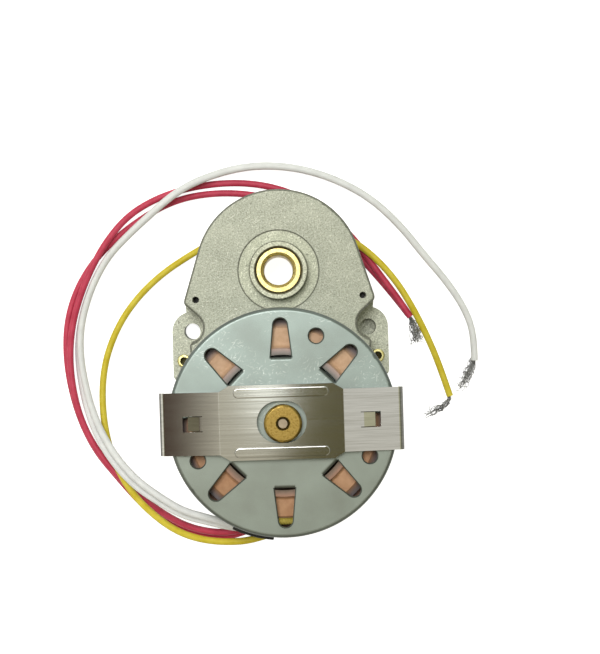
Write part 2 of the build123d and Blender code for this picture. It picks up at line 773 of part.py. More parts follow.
def clip_planform():
    p, w = panel_half_width, wing_half_width
    end, flat = clip_half_length, panel_half_length - panel_taper
    right = [(flat, p), (panel_half_length, w), (end, w), (end, -w), (panel_half_length, -w), (flat, -p)]
    left = [(-x, -y) for x, y in right]
    return Pos(*clip_at) * make_face(Polyline(*right, *left, close=True))


def clip_profile():
    right = [(panel_half_length, strip_z), (leg_x, corner_z), (leg_x, leg_low_z)]
    left = [(-x, z) for x, z in reversed(right)]
    return trace(FilletPolyline(*left, *right, radius=clip_bend_r), clip_thickness)


def make_spring_clip():
    high = panel_z + clip_thickness
    clip = across_strip(clip_profile(), panel_half_width) & slab(clip_planform(), leg_low_z, high)
    eye_width = 2 * (rear_bush_r + abs(clip_shift_y) + clip_eye_gap)
    eye = Pos(*clip_at) * SlotOverall(eye_width + clip_eye_stretch, eye_width)
    clip -= slab(eye, panel_z, high)
    for side in (-1, 1):
        bead = Pos(clip_at[0], clip_at[1] + side * bead_y) * SlotOverall(bead_length, bead_width)
        ridge = slab(bead, strip_z, high + bead_height)
        clip += fillet(ridge.faces().sort_by(Axis.Z)[-1].edges(), bead_height * 0.9)
        window = (side * tab_window_x, side * (tab_window_x + tab_window_length))
        clip -= clip_block(window, tab_window_width / 2, can_top_z, high)
        clip += make_tab(side)
        leg = (side * (leg_x - clip_thickness), side * (leg_x + clip_thickness))
        clip -= clip_block(leg, lug_half_width + lug_side_gap, lug_low_z - end_play, lug_top_z + lug_top_gap)
        clip -= [leg_corner(side, edge) for edge in (-1, 1)]
    return clip


# Wedge that narrows one edge of a leg from just under its bend down to its foot
def leg_corner(side, edge):
    top_z = corner_z - leg_taper_drop
    near = [(edge * wing_half_width, top_z), (edge * leg_foot_half_width, leg_low_z)]
    far = [(edge * panel_half_width, leg_low_z), (edge * panel_half_width, top_z)]
    wedge = extrude(Plane.YZ * make_face(Polyline(*near, *far, close=True)), clip_thickness, both=True)
    return Pos(clip_at[0] + side * leg_x, clip_at[1], 0) * wedge


# Tongue bent out of its window, rooted at the window's inner end and dipping outwards
def make_tab(side):
    root_z = strip_z - wing_slope * (tab_window_x - panel_half_length)
    root = (side * (tab_window_x - clip_thickness), root_z + wing_slope * clip_thickness)
    bend = (side * (tab_window_x + clip_thickness), root_z - wing_slope * clip_thickness)
    tip = (side * (tab_window_x + tab_length), can_top_z + tab_gap + tab_thickness / 2)
    tongue = trace(FilletPolyline(root, bend, tip, radius=clip_bend_r), tab_thickness)
    return across_strip(tongue, tab_width / 2)


def make_ear_rivets():
    rivets = []
    for side in (-1, 1):
        at = (side * rivet_x, rivet_y)
        low = plate_z - rivet_head_height
        high = cavity_z + rivet_head_height
        rivet = bar(rivet_barrel_r, low, high, at)
        for z, face in ((low, 0), (cavity_z, -1)):
            head = bar(rivet_head_r, z, z + rivet_head_height, at)
            rivet += fillet(head.faces().sort_by(Axis.Z)[face].edges(), rivet_head_height * 0.8)
        rivets.append(rivet - bar(rivet_bore_r, high - rivet_bore_depth, high, at))
    return Compound(children=rivets)


def make_case_screws():
    screws = []
    for x, y in screw_places:
        low = plate_z - screw_head_height
        head = bar(screw_head_r, low, plate_z, (x, y))
        head = fillet(head.faces().sort_by(Axis.Z)[0].edges(), screw_head_height / 3)
        half = screw_slot_width / 2
        head -= block(x - screw_head_r, x + screw_head_r, y - half, y + half, low, low + screw_slot_depth)
        screws.append(head + bar(screw_r - seat_fit, plate_z, plate_z + screw_grip, (x, y)))
    return Compound(children=screws)


# Lead: a tube whose arcs are as large as the two runs beside them allow
def arc_radii(points):
    radii = []
    for before, at, after in zip(points, points[1:], points[2:]):
        first = Vector(*at) - Vector(*before)
        second = Vector(*after) - Vector(*at)
        half_turn = math.radians(first.get_angle(second)) / 2
        radii.append(0.45 * min(first.length, second.length) / math.tan(half_turn))
    return radii


def tube(path, r):
    return sweep(Plane(path @ 0, z_dir=path % 0) * Circle(r), path)


def make_lead(name, route):
    radii = arc_radii(route)
    path = FilletPolyline(*route, radius=radii)
    lead = tube(path, lead_r)
    share = lead.volume / (math.pi * lead_r**2 * path.length)
    print(f"{name}: length {path.length:.1f} mm, least radius {min(radii):.1f} mm, volume share {share:.4f}")
    return lead


# Bared strands: straight on from the lead's end, then bent towards their tip
def make_bare_end(route, tip):
    end = Vector(*route[-1])
    ahead = (end - Vector(*route[-2])).normalized()
    path = FilletPolyline(end, end + ahead * bare_straight, Vector(*tip), radius=bare_bend_r)
    return tube(path, bare_r)


routes = {
    "white_lead_1": (white_1_route, white_1_tip),
    "white_lead_2": (white_2_route, white_2_tip),
    "red_lead_1": (red_1_route, red_1_tip),
    "red_lead_2": (red_2_route, red_2_tip),
    "yellow_lead": (yellow_route, yellow_tip),
}

pieces = {
    "gear_case": make_gear_case(),
    "back_plate": make_back_plate(),
    "ear_rivets": make_ear_rivets(),
    "case_screws": make_case_screws(),
    "output_sleeve": make_output_sleeve(),
    "output_gear": make_output_gear(),
    "output_washers": make_output_washers(),
    "gear_arbors": make_arbors(),
    "first_wheel": make_first_wheel(),
    "first_pinion": make_first_pinion(),
    "second_wheel": make_second_wheel(),
    "second_pinion": make_second_pinion(),
    "motor_pinion": make_motor_pinion(),
    "rotor_shaft": make_rotor_shaft(),
    "rotor_hub": make_rotor_hub(),
    "rotor_magnet": make_rotor_magnet(),
    "rotor_washers": make_rotor_washers(),
    "rear_bush": make_rear_bush(),
    "front_bush": make_front_bush(),
    "motor_can": make_motor_can(),
    "mount_plate": make_mount_plate(),
    "upper_pole_plate": make_upper_poles(),
    "lower_pole_plate": make_lower_poles(),
    "upper_bobbin": make_bobbin(upper_flange_z, upper_collar_z),
    "lower_bobbin": make_bobbin(lower_flange_z, lower_collar_z),
    "upper_coil": make_coil(upper_flange_z, upper_collar_z),
    "lower_coil": make_coil(lower_flange_z, lower_collar_z),
    "lead_block": make_lead_block(),
    "coil_tail": make_coil_tail(),
    "spring_clip": make_spring_clip(),
    "stripped_ends": Compound(children=[make_bare_end(*pair) for pair in routes.values()]),
}
for name, (route, tip) in routes.items():
    pieces[name] = make_lead(name, route)

os.makedirs("parts", exist_ok=True)
for name, piece in pieces.items():
    export_step(piece, f"parts/{name}.step")
print("motor", motor_at, "first arbor", first_at, "second arbor", second_at)
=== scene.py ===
import json
import math

import bmesh
import bpy
import numpy as np
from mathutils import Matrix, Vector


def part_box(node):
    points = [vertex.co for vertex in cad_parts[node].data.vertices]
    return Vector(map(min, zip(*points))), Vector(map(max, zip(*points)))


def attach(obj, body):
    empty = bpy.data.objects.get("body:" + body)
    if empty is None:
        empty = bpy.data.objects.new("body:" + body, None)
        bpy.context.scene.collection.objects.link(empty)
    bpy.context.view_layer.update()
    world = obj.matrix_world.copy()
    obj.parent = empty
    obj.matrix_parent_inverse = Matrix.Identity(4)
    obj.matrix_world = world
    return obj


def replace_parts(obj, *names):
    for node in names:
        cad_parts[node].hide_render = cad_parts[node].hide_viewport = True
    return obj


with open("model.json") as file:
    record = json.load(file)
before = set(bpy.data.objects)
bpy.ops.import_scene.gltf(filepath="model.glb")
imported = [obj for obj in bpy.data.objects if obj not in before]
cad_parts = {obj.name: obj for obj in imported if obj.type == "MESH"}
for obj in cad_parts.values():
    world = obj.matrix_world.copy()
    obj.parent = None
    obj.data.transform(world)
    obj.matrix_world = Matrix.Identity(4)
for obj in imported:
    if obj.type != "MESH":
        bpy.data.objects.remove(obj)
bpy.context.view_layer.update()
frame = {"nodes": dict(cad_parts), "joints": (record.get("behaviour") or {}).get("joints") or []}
nodes = frame["nodes"]
axes = {joint["name"]: joint["pos_m"] for joint in frame["joints"]}
motorAxis = axes["rotor_spin"]
outputAxis = axes["output_spin"]
print("frame loaded,", len(nodes), "nodes")

# Camera straight above, as the photograph has it; pixels are counted from its top left corner

camera = {
    "photoSize": (600, 654),
    "focalPixels": 1578.5,
    "nadirPixel": (280, 300),      # the point right under the lens
    "place": (0.00019, -0.00808, 0.450),
    "rollDegrees": -1.7,
    "sensor": 36.0,                # millimetres, as the focal length is
    "clipRange": (0.01, 20.0),
}


def makeCamera():
    wide, high = camera["photoSize"]
    longSide = max(wide, high)
    data = bpy.data.cameras.new("camera")
    data.sensor_width = camera["sensor"]
    data.lens = camera["focalPixels"] * camera["sensor"] / longSide
    data.shift_x = (wide / 2 - camera["nadirPixel"][0]) / longSide
    data.shift_y = (camera["nadirPixel"][1] - high / 2) / longSide
    data.clip_start, data.clip_end = camera["clipRange"]
    lens = bpy.data.objects.new("camera", data)
    lens.location = camera["place"]
    lens.rotation_euler = (0.0, 0.0, math.radians(camera["rollDegrees"]))
    bpy.context.scene.collection.objects.link(lens)
    bpy.context.scene.camera = lens


makeCamera()
bpy.context.scene.view_settings.view_transform = "Standard"
print("camera set")

# Small helpers for shader nodes; an input goes by name or number, and is a value or a node's output


def add(tree, kind, inputs=None, **settings):
    made = tree.nodes.new("ShaderNode" + kind)
    for key, value in settings.items():
        setattr(made, key, value)
    for key, value in (inputs or {}).items():
        if isinstance(value, bpy.types.NodeSocket):
            tree.links.new(value, made.inputs[key])
        else:
            made.inputs[key].default_value = value
    return made


def calc(tree, operation, a, b=0.0, c=0.0):
    return add(tree, "Math", {0: a, 1: b, 2: c}, operation=operation).outputs[0]


# a by its share, and b by the rest
def blended(tree, share, a, b):
    return calc(tree, "ADD", calc(tree, "MULTIPLY", a, share), calc(tree, "MULTIPLY", b, 1.0 - share))


def ramp(tree, value, stops):
    made = add(tree, "ValToRGB", {"Fac": value})
    points = made.color_ramp.elements
    while len(points) < len(stops):
        points.new(0.5)        # each is put in its place below
    for point, (place, colour) in zip(points, stops):
        point.position = place
        point.color = (*colour, 1.0)
    return made.outputs["Color"]


def grey(*stops):
    return [(place, (value, value, value)) for place, value in stops]


# from dark to light as the tone rises from one edge to the other
def toned(tree, tone, edges, dark, light):
    return ramp(tree, tone, [(edges[0], dark), (edges[1], light)])


def mixed(tree, share, a, b, blend="MIX"):
    made = add(tree, "Mix", {0: share}, data_type="RGBA", blend_type=blend)
    for number, value in ((6, a), (7, b)):      # a colour mix keeps its two colours in these inputs
        if isinstance(value, bpy.types.NodeSocket):
            tree.links.new(value, made.inputs[number])
        else:
            made.inputs[number].default_value = (*value, 1.0)
    return made.outputs[2]


def shaded(tree, colour, shade):
    return mixed(tree, 1.0, colour, shade, "MULTIPLY")


def objectPlace(tree):
    return add(tree, "TexCoord").outputs["Object"]


# turned about Z first and then scaled, so that what is long along X runs along the heading
def stretched(tree, place, scale, turn=0.0):
    turned = add(tree, "VectorRotate", {"Vector": place, "Angle": -turn}, rotation_type="Z_AXIS")
    return add(tree, "VectorMath", {0: turned.outputs[0], 1: scale}, operation="MULTIPLY").outputs[0]


# a noise in the finishes below is given by its scale, its detail and, where it isn't 0.5, its roughness
def noise(tree, place, scale, detail=2.0, rough=0.5):
    inputs = {"Vector": place, "Scale": scale, "Detail": detail, "Roughness": rough}
    return add(tree, "TexNoise", inputs).outputs["Fac"]


noiseRange = (0.3, 0.7)        # most of a noise lies between these


# from one number to another over the range of a noise
def byNoise(tree, tone, low, high):
    return ramp(tree, tone, grey((noiseRange[0], low), (noiseRange[1], high)))


nearFade = {"span": 0.05, "edges": (0.35, 0.65)}


# 1 at the far side of an upright axis, falling to a given tint at the near side, half way at the axis
def nearTint(tree, place, axis, tint):
    along = add(tree, "SeparateXYZ", {0: place}).outputs["Y"]
    share = calc(tree, "MULTIPLY_ADD", along, 1.0 / nearFade["span"], 0.5 - axis[1] / nearFade["span"])
    return toned(tree, share, nearFade["edges"], tint, (1.0, 1.0, 1.0))


# distance from an upright axis, in metres
def radiusFrom(tree, place, axis):
    offset = add(tree, "VectorMath", {0: place, 1: (axis[0], axis[1], 0.0)}, operation="SUBTRACT")
    flat = add(tree, "VectorMath", {0: offset.outputs[0], 1: (1.0, 1.0, 0.0)}, operation="MULTIPLY")
    return add(tree, "VectorMath", {0: flat.outputs[0]}, operation="LENGTH").outputs["Value"]


# shades by radius, in metres; the span is the radius where the ramp ends
def radiusRamp(tree, radius, span, stops):
    share = calc(tree, "MULTIPLY", radius, 1.0 / span)
    return ramp(tree, share, [(place / span, shade) for place, shade in stops])


# how level a face lies: 1 for level, 0 for upright
def levelness(tree):
    facing = add(tree, "SeparateXYZ", {0: add(tree, "NewGeometry").outputs["Normal"]}).outputs["Z"]
    return calc(tree, "ABSOLUTE", facing)


levelSteps = {"wall": 0.05, "rim": 0.25, "bend": 0.90, "flat": 0.985, "bendLift": 0.3}


# painted shade: 1 on level faces, lower on walls, and lowest on the rounded rims between them
def levelPaintedShade(tree, wall, rim):
    bend = levelSteps["bendLift"] + rim * (1.0 - levelSteps["bendLift"])
    shades = {"wall": wall, "rim": rim, "bend": bend, "flat": 1.0}
    return ramp(tree, levelness(tree), grey(*[(levelSteps[key], shade) for key, shade in shades.items()]))


def bump(tree, height, strength, depth):
    return add(tree, "Bump", {"Height": height, "Strength": strength, "Distance": depth}).outputs["Normal"]


# an empty node tree with its output node
def emptyTree(owner, outputKind):
    owner.use_nodes = True
    owner.node_tree.nodes.clear()
    return owner.node_tree, add(owner.node_tree, outputKind)


# one shader, with what is the same all over the surface; _ stands for a space in a socket's name
def startMaterial(name, **constants):
    material = bpy.data.materials.new(name)
    tree, end = emptyTree(material, "OutputMaterial")
    shader = add(tree, "BsdfPrincipled")
    tree.links.new(shader.outputs[0], end.inputs["Surface"])
    for key, value in constants.items():
        shader.inputs[key.replace("_", " ")].default_value = value
    return material, tree, shader


# what changes over the surface, by the same names
def joinUp(tree, shader, **sockets):
    for key, value in sockets.items():
        tree.links.new(value, shader.inputs[key.replace("_", " ")])


# Finishes: rough goes from a noise's low end to its high end, depths and radii are in metres

castFinish = {
    "light": (0.545, 0.56, 0.455), "dark": (0.25, 0.26, 0.205), "fleck": (0.82, 0.82, 0.73),
    # wall and rim are painted shade on walls and on rounded rims
    "metal": 0.35, "wall": 0.72, "rim": 0.30, "plateLightGain": 1.2,
    "grain": (2600.0, 3.0, 0.75), "cloud": (150.0, 4.0, 0.6), "grainShare": 0.8, "toneEdges": (0.36, 0.64),
    "flecks": (1700.0, 2.0, 0.7), "fleckStops": grey((0.60, 0.0), (0.72, 0.6)),
    "pits": (900.0, 1.0), "pitStops": grey((0.24, 0.6), (0.30, 1.0)),
    "rough": (0.62, 0.40), "bumpStrength": 0.7, "bumpDepth": 0.00006,
    # each set of strokes has a heading, and a scale along and across it
    "strokes": [(0.5, 520.0, 4200.0), (-0.7, 560.0, 4500.0), (1.3, 540.0, 4300.0)],
    "strokeEdges": (0.66, 0.76), "strokeShare": 0.5,
    # shade by radius round the output axis: painted shade tinted brown as oil in the gap beside the sleeve,
    # brighter machined faces on the boss and the spot face, and painted shade lines at the boss's foot and
    # the spot face's rim
    "rings": [
        (0.0061, (0.26, 0.20, 0.09)), (0.0064, (0.70, 0.62, 0.45)), (0.0067, (1.30, 1.28, 1.22)),
        (0.0077, (1.30, 1.28, 1.22)), (0.0080, (0.60, 0.60, 0.55)), (0.0083, (1.20, 1.20, 1.15)),
        (0.0108, (1.20, 1.20, 1.15)), (0.01095, (0.30, 0.30, 0.27)), (0.01110, (0.30, 0.30, 0.27)),
        (0.0113, (1.0, 1.0, 1.0)),
    ],
    "ringSpan": 0.02,
}


strokeNoise = (1.0, 1.0)        # its scale is in the strokes


# light strokes: noise drawn out along each heading, shown where it is highest
def scratches(tree, place, look):
    start, full = look["strokeEdges"]
    lines = None
    for turn, along, across in look["strokes"]:
        drawn = noise(tree, stretched(tree, place, (along, across, along), turn), *strokeNoise)
        stroke = ramp(tree, drawn, grey((start, 0.0), (full, 1.0)))
        lines = stroke if lines is None else mixed(tree, 1.0, lines, stroke, "LIGHTEN")
    return lines


# die-cast zinc: grains under half a millimetre wide over slow cloudy patches, with flecks, strokes and pits
def castMetal(name, lightGain):
    look = castFinish
    material, tree, shader = startMaterial(name, Metallic=look["metal"])
    place = objectPlace(tree)
    grain = noise(tree, place, *look["grain"])
    tone = blended(tree, look["grainShare"], grain, noise(tree, place, *look["cloud"]))
    colour = toned(tree, tone, look["toneEdges"], look["dark"], look["light"])
    flecks = ramp(tree, noise(tree, place, *look["flecks"]), look["fleckStops"])
    colour = mixed(tree, flecks, colour, look["fleck"])
    strokes = calc(tree, "MULTIPLY", scratches(tree, place, look), look["strokeShare"])
    colour = mixed(tree, strokes, colour, look["fleck"])
    colour = shaded(tree, colour, ramp(tree, noise(tree, place, *look["pits"]), look["pitStops"]))
    # painted shade, darker on walls and darkest on rounded rims
    colour = shaded(tree, colour, levelPaintedShade(tree, look["wall"], look["rim"]))
    # painted light: the whole colour scaled, brighter for the back plate, whose low ears lie in shade
    colour = shaded(tree, colour, (lightGain, lightGain, lightGain))
    # painted shade lines and brighter machined faces round the output axis
    rings = radiusRamp(tree, radiusFrom(tree, place, outputAxis), look["ringSpan"], look["rings"])
    joinUp(
        tree, shader,
        Base_Color=shaded(tree, colour, rings),
        Roughness=byNoise(tree, grain, *look["rough"]),
        Normal=bump(tree, grain, look["bumpStrength"], look["bumpDepth"]),
    )
    return material


sheetFinish = {
    "light": (0.335, 0.40, 0.375), "dark": (0.275, 0.32, 0.295), "scratch": (0.92, 0.96, 0.92),
    # wall and rim are painted shade on walls and on rounded rims
    "near": (0.92, 0.865, 0.81), "metal": 0.6, "wall": 0.85, "rim": 0.30,
    "cloud": (90.0, 3.0), "grit": (5200.0, 2.0), "cloudShare": 0.7, "toneEdges": (0.38, 0.62),
    "rough": (0.46, 0.36), "bumpStrength": 0.25, "bumpDepth": 0.00001,
    # each set of scratches has a heading, and a scale along and across it
    "strokes": [(0.95, 520.0, 3600.0), (-0.5, 480.0, 3900.0), (1.5, 600.0, 3500.0), (0.3, 560.0, 3700.0)],
    "strokeEdges": (0.68, 0.76),
    # scratches keep to patches, to level faces and to the far side
    "patches": (95.0, 2.0), "patchStops": grey((0.46, 0.0), (0.66, 0.7)),
    "levelStops": grey((0.9, 0.0), (0.98, 1.0)), "nearScratch": (0.0, 0.0, 0.0),
}


# galvanised sheet: faint cloudy tone, very fine grit, and short light scratches
def galvanisedSheet():
    look = sheetFinish
    material, tree, shader = startMaterial("galvanisedSheet", Metallic=look["metal"])
    place = objectPlace(tree)
    grit = noise(tree, place, *look["grit"])
    tone = blended(tree, look["cloudShare"], noise(tree, place, *look["cloud"]), grit)
    colour = toned(tree, tone, look["toneEdges"], look["dark"], look["light"])
    # painted shade: darker and warmer towards the near side
    colour = shaded(tree, colour, nearTint(tree, place, motorAxis, look["near"]))
    # painted shade, darker on walls and darkest on the rounded rim
    colour = shaded(tree, colour, levelPaintedShade(tree, look["wall"], look["rim"]))
    lines = scratches(tree, place, look)
    lines = shaded(tree, lines, nearTint(tree, place, motorAxis, look["nearScratch"]))
    patch = ramp(tree, noise(tree, place, *look["patches"]), look["patchStops"])
    level = ramp(tree, levelness(tree), look["levelStops"])
    share = calc(tree, "MULTIPLY", calc(tree, "MULTIPLY", lines, patch), level)
    joinUp(
        tree, shader,
        Base_Color=mixed(tree, share, colour, look["scratch"]),
        Roughness=byNoise(tree, grit, *look["rough"]),
        Normal=bump(tree, grit, look["bumpStrength"], look["bumpDepth"]),
    )
    return material


stripFinish = {
    "light": (0.91, 0.905, 0.885), "dark": (0.61, 0.60, 0.565), "toneEdges": (0.3, 0.7),
    # two sets of brushed lines, each drawn out by its scale along X, Y and Z
    "fineScale": (45.0, 5200.0, 900.0), "fine": (1.0, 3.0, 0.6), "fineShare": 0.6,
    "broadScale": (18.0, 1500.0, 300.0), "broad": (1.0, 2.0),
    "rough": (0.10, 0.05), "bumpDepth": 0.000003,
    # by how level a face lies: the strength of the lines, then the painted shade of legs, of bends and of
    # the rest
    "bumpStops": grey((0.96, 0.0), (0.99, 0.2)),
    "steepPaintedShade": grey((0.05, 0.55), (0.30, 0.20), (0.70, 0.20), (0.84, 1.0)),
}


# nickel-plated spring strip: brushed lines along X, fine and uneven
def brushedStrip():
    look = stripFinish
    material, tree, shader = startMaterial("brushedStrip", Metallic=1.0)
    place = objectPlace(tree)
    fine = noise(tree, stretched(tree, place, look["fineScale"]), *look["fine"])
    broad = noise(tree, stretched(tree, place, look["broadScale"]), *look["broad"])
    tone = blended(tree, look["fineShare"], fine, broad)
    colour = toned(tree, tone, look["toneEdges"], look["dark"], look["light"])
    level = levelness(tree)
    joinUp(
        tree, shader,
        # painted shade on the legs, darkest on the bends
        Base_Color=shaded(tree, colour, ramp(tree, level, look["steepPaintedShade"])),
        Roughness=byNoise(tree, tone, *look["rough"]),
        Normal=bump(tree, fine, ramp(tree, level, look["bumpStops"]), look["bumpDepth"]),
    )
    return material


brassFinish = {
    "toneEdges": (0.35, 0.62), "rough": (0.42, 0.24),
    "pitch": 0.00022, "wobble": 700.0, "bumpStrength": 0.12, "bumpDepth": 0.000004,
    "darkRingShade": 0.08, "darkRingEdges": (0.9, 1.1), "darkRingSpan": 0.01,
}
sleeveLook = {"light": (0.71, 0.60, 0.275), "dark": (0.60, 0.48, 0.18), "dull": (900.0, 3.0, 0.65)}
bushLook = {
    "light": (0.50, 0.345, 0.10), "dark": (0.22, 0.14, 0.03), "dull": (2200.0, 3.0, 0.65),
    "darkRingRadius": 0.0017,
}


# turned brass: fine rings about the piece's own axis, dulled in grains, and darker round the bore out to a
# given radius
def turnedBrass(name, axis, look):
    material, tree, shader = startMaterial(name, Metallic=1.0)
    place = objectPlace(tree)
    radius = radiusFrom(tree, place, axis)
    waves = calc(tree, "MULTIPLY", radius, 2 * math.pi / brassFinish["pitch"])
    rings = calc(tree, "SINE", calc(tree, "ADD", waves, noise(tree, place, brassFinish["wobble"])))
    dull = noise(tree, place, *look["dull"])
    colour = toned(tree, dull, brassFinish["toneEdges"], look["dark"], look["light"])
    if "darkRingRadius" in look:
        inner, outer = [look["darkRingRadius"] * edge for edge in brassFinish["darkRingEdges"]]
        stops = grey((inner, brassFinish["darkRingShade"]), (outer, 1.0))
        colour = shaded(tree, colour, radiusRamp(tree, radius, brassFinish["darkRingSpan"], stops))
    joinUp(
        tree, shader,
        Base_Color=colour,
        Roughness=byNoise(tree, dull, *brassFinish["rough"]),
        Normal=bump(tree, rings, brassFinish["bumpStrength"], brassFinish["bumpDepth"]),
    )
    return material


metalGrain = {
    "grit": (3000.0, 4.0, 0.65), "slow": (260.0, 2.0), "toneEdges": (0.35, 0.65),
    "rougher": 0.08, "smoother": 0.06, "bumpStrength": 0.2, "bumpDepth": 0.000006,
}


# plain metals: steel, tinned strands, cut gear brass, each with fine grit and a slow change of tone
def plainMetal(name, dark, light, rough):
    material, tree, shader = startMaterial(name, Metallic=1.0)
    place = objectPlace(tree)
    grit = noise(tree, place, *metalGrain["grit"])
    slow = noise(tree, place, *metalGrain["slow"])
    joinUp(
        tree, shader,
        Base_Color=toned(tree, slow, metalGrain["toneEdges"], dark, light),
        Roughness=byNoise(tree, grit, rough + metalGrain["rougher"], rough - metalGrain["smoother"]),
        Normal=bump(tree, grit, metalGrain["bumpStrength"], metalGrain["bumpDepth"]),
    )
    return material


rivetFinish = {
    "dark": (0.58, 0.50, 0.19), "light": (0.86, 0.80, 0.40), "toneEdges": (0.35, 0.65),
    "mottle": (1500.0, 3.0), "rough": (0.42, 0.28),
    "depth": 0.0006, "boreShadeStops": grey((0.5, 0.06), (0.85, 1.0)),
}


# brass eyelets, bright on the rim, with painted shade that turns the bore black below it; sunk is 1 at the
# rim and a half at the depth
def rivetBrass():
    look = rivetFinish
    rise = 0.5 / look["depth"]
    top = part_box("ear_rivets")[1].z
    material, tree, shader = startMaterial("rivetBrass", Metallic=1.0)
    place = objectPlace(tree)
    height = add(tree, "SeparateXYZ", {0: place}).outputs["Z"]
    sunk = calc(tree, "MULTIPLY_ADD", height, rise, 1.0 - rise * top)
    tone = noise(tree, place, *look["mottle"])
    colour = toned(tree, tone, look["toneEdges"], look["dark"], look["light"])
    joinUp(
        tree, shader,
        # painted shade down the bore
        Base_Color=shaded(tree, colour, ramp(tree, sunk, look["boreShadeStops"])),
        Roughness=byNoise(tree, tone, *look["rough"]),
    )
    return material


plasticGrain = {
    "specular": 0.35, "mottle": (320.0, 3.0), "toneEdges": (0.3, 0.7), "detail": (3.0, 0.6),
    "roughSwing": 0.07, "bumpStrength": 0.3, "bumpDepth": 0.000012,
}


# moulded and sintered pieces: soft mottling, a fine grain in the gloss and in the surface
def mouldedPlastic(name, dark, light, rough, grainScale=1800.0):
    material, tree, shader = startMaterial(name, Specular_IOR_Level=plasticGrain["specular"])
    place = objectPlace(tree)
    mottle = noise(tree, place, *plasticGrain["mottle"])
    grain = noise(tree, place, grainScale, *plasticGrain["detail"])
    swing = plasticGrain["roughSwing"]
    joinUp(
        tree, shader,
        Base_Color=toned(tree, mottle, plasticGrain["toneEdges"], dark, light),
        Roughness=byNoise(tree, grain, rough + swing, rough - swing),
        Normal=bump(tree, grain, plasticGrain["bumpStrength"], plasticGrain["bumpDepth"]),
    )
    return material


windingFinish = {
    "light": (0.73, 0.48, 0.30), "dark": (0.57, 0.335, 0.19), "edgeShade": (0.38, 0.32, 0.32),
    "near": (0.80, 0.68, 0.58), "toneEdges": (0.35, 0.65),
    "blotch": (700.0, 3.0, 0.6), "slow": (120.0, 2.0), "blotchShare": 0.5,
    "rough": (0.6, 0.45), "bumpStrength": 0.2, "bumpDepth": 0.00002,
    # share of grey painted shade by radius: some at the spool, none on the level top, all at the outer rim
    "edgeShadeStops": grey((0.0188, 0.55), (0.0200, 0.0), (0.0246, 0.0), (0.0262, 1.0)), "edgeShadeSpan": 0.1,
}


# varnished copper winding, with grey painted shade at the spool and the outer rim, and painted shade on its
# near side
def copperWinding():
    look = windingFinish
    material, tree, shader = startMaterial("copperWinding")
    place = objectPlace(tree)
    blotch = noise(tree, place, *look["blotch"])
    slow = noise(tree, place, *look["slow"])
    tone = blended(tree, look["blotchShare"], blotch, slow)
    colour = toned(tree, tone, look["toneEdges"], look["dark"], look["light"])
    # painted shade: darker towards the near side
    colour = shaded(tree, colour, nearTint(tree, place, motorAxis, look["near"]))
    edgeShaded = radiusRamp(tree, radiusFrom(tree, place, motorAxis), look["edgeShadeSpan"], look["edgeShadeStops"])
    joinUp(
        tree, shader,
        # grey painted shade at the spool and at the outer rim
        Base_Color=mixed(tree, edgeShaded, colour, look["edgeShade"]),
        Roughness=byNoise(tree, slow, *look["rough"]),
        Normal=bump(tree, blotch, look["bumpStrength"], look["bumpDepth"]),
    )
    return material


bobbinFinish = {
    "near": (0.85, 0.65, 0.50), "gloss": (1800.0, 3.0), "rough": (0.55, 0.4),
    # colour by radius: painted shade darkest at the bore, lighter through the middle, and the collar's own
    # colour, with an edge that wanders
    "boreShade": [(0.0177, (0.18, 0.165, 0.145)), (0.0185, (0.33, 0.27, 0.255)), (0.0193, (0.48, 0.33, 0.28))],
    "boreShadeSpan": 0.1, "wanderScale": 900.0, "wander": 0.0006,
}


# moulded spool, with painted shade dark round its bore
def shadePaintedBobbin():
    look = bobbinFinish
    material, tree, shader = startMaterial("bobbinPlastic")
    place = objectPlace(tree)
    swing = calc(tree, "SUBTRACT", noise(tree, place, look["wanderScale"]), 0.5)
    wander = calc(tree, "MULTIPLY", swing, look["wander"])
    radius = calc(tree, "ADD", radiusFrom(tree, place, motorAxis), wander)
    # painted shade by radius, darkest at the bore
    colour = radiusRamp(tree, radius, look["boreShadeSpan"], look["boreShade"])
    joinUp(
        tree, shader,
        # painted shade on the near side
        Base_Color=shaded(tree, colour, nearTint(tree, place, motorAxis, look["near"])),
        Roughness=byNoise(tree, noise(tree, place, *look["gloss"]), *look["rough"]),
    )
    return material


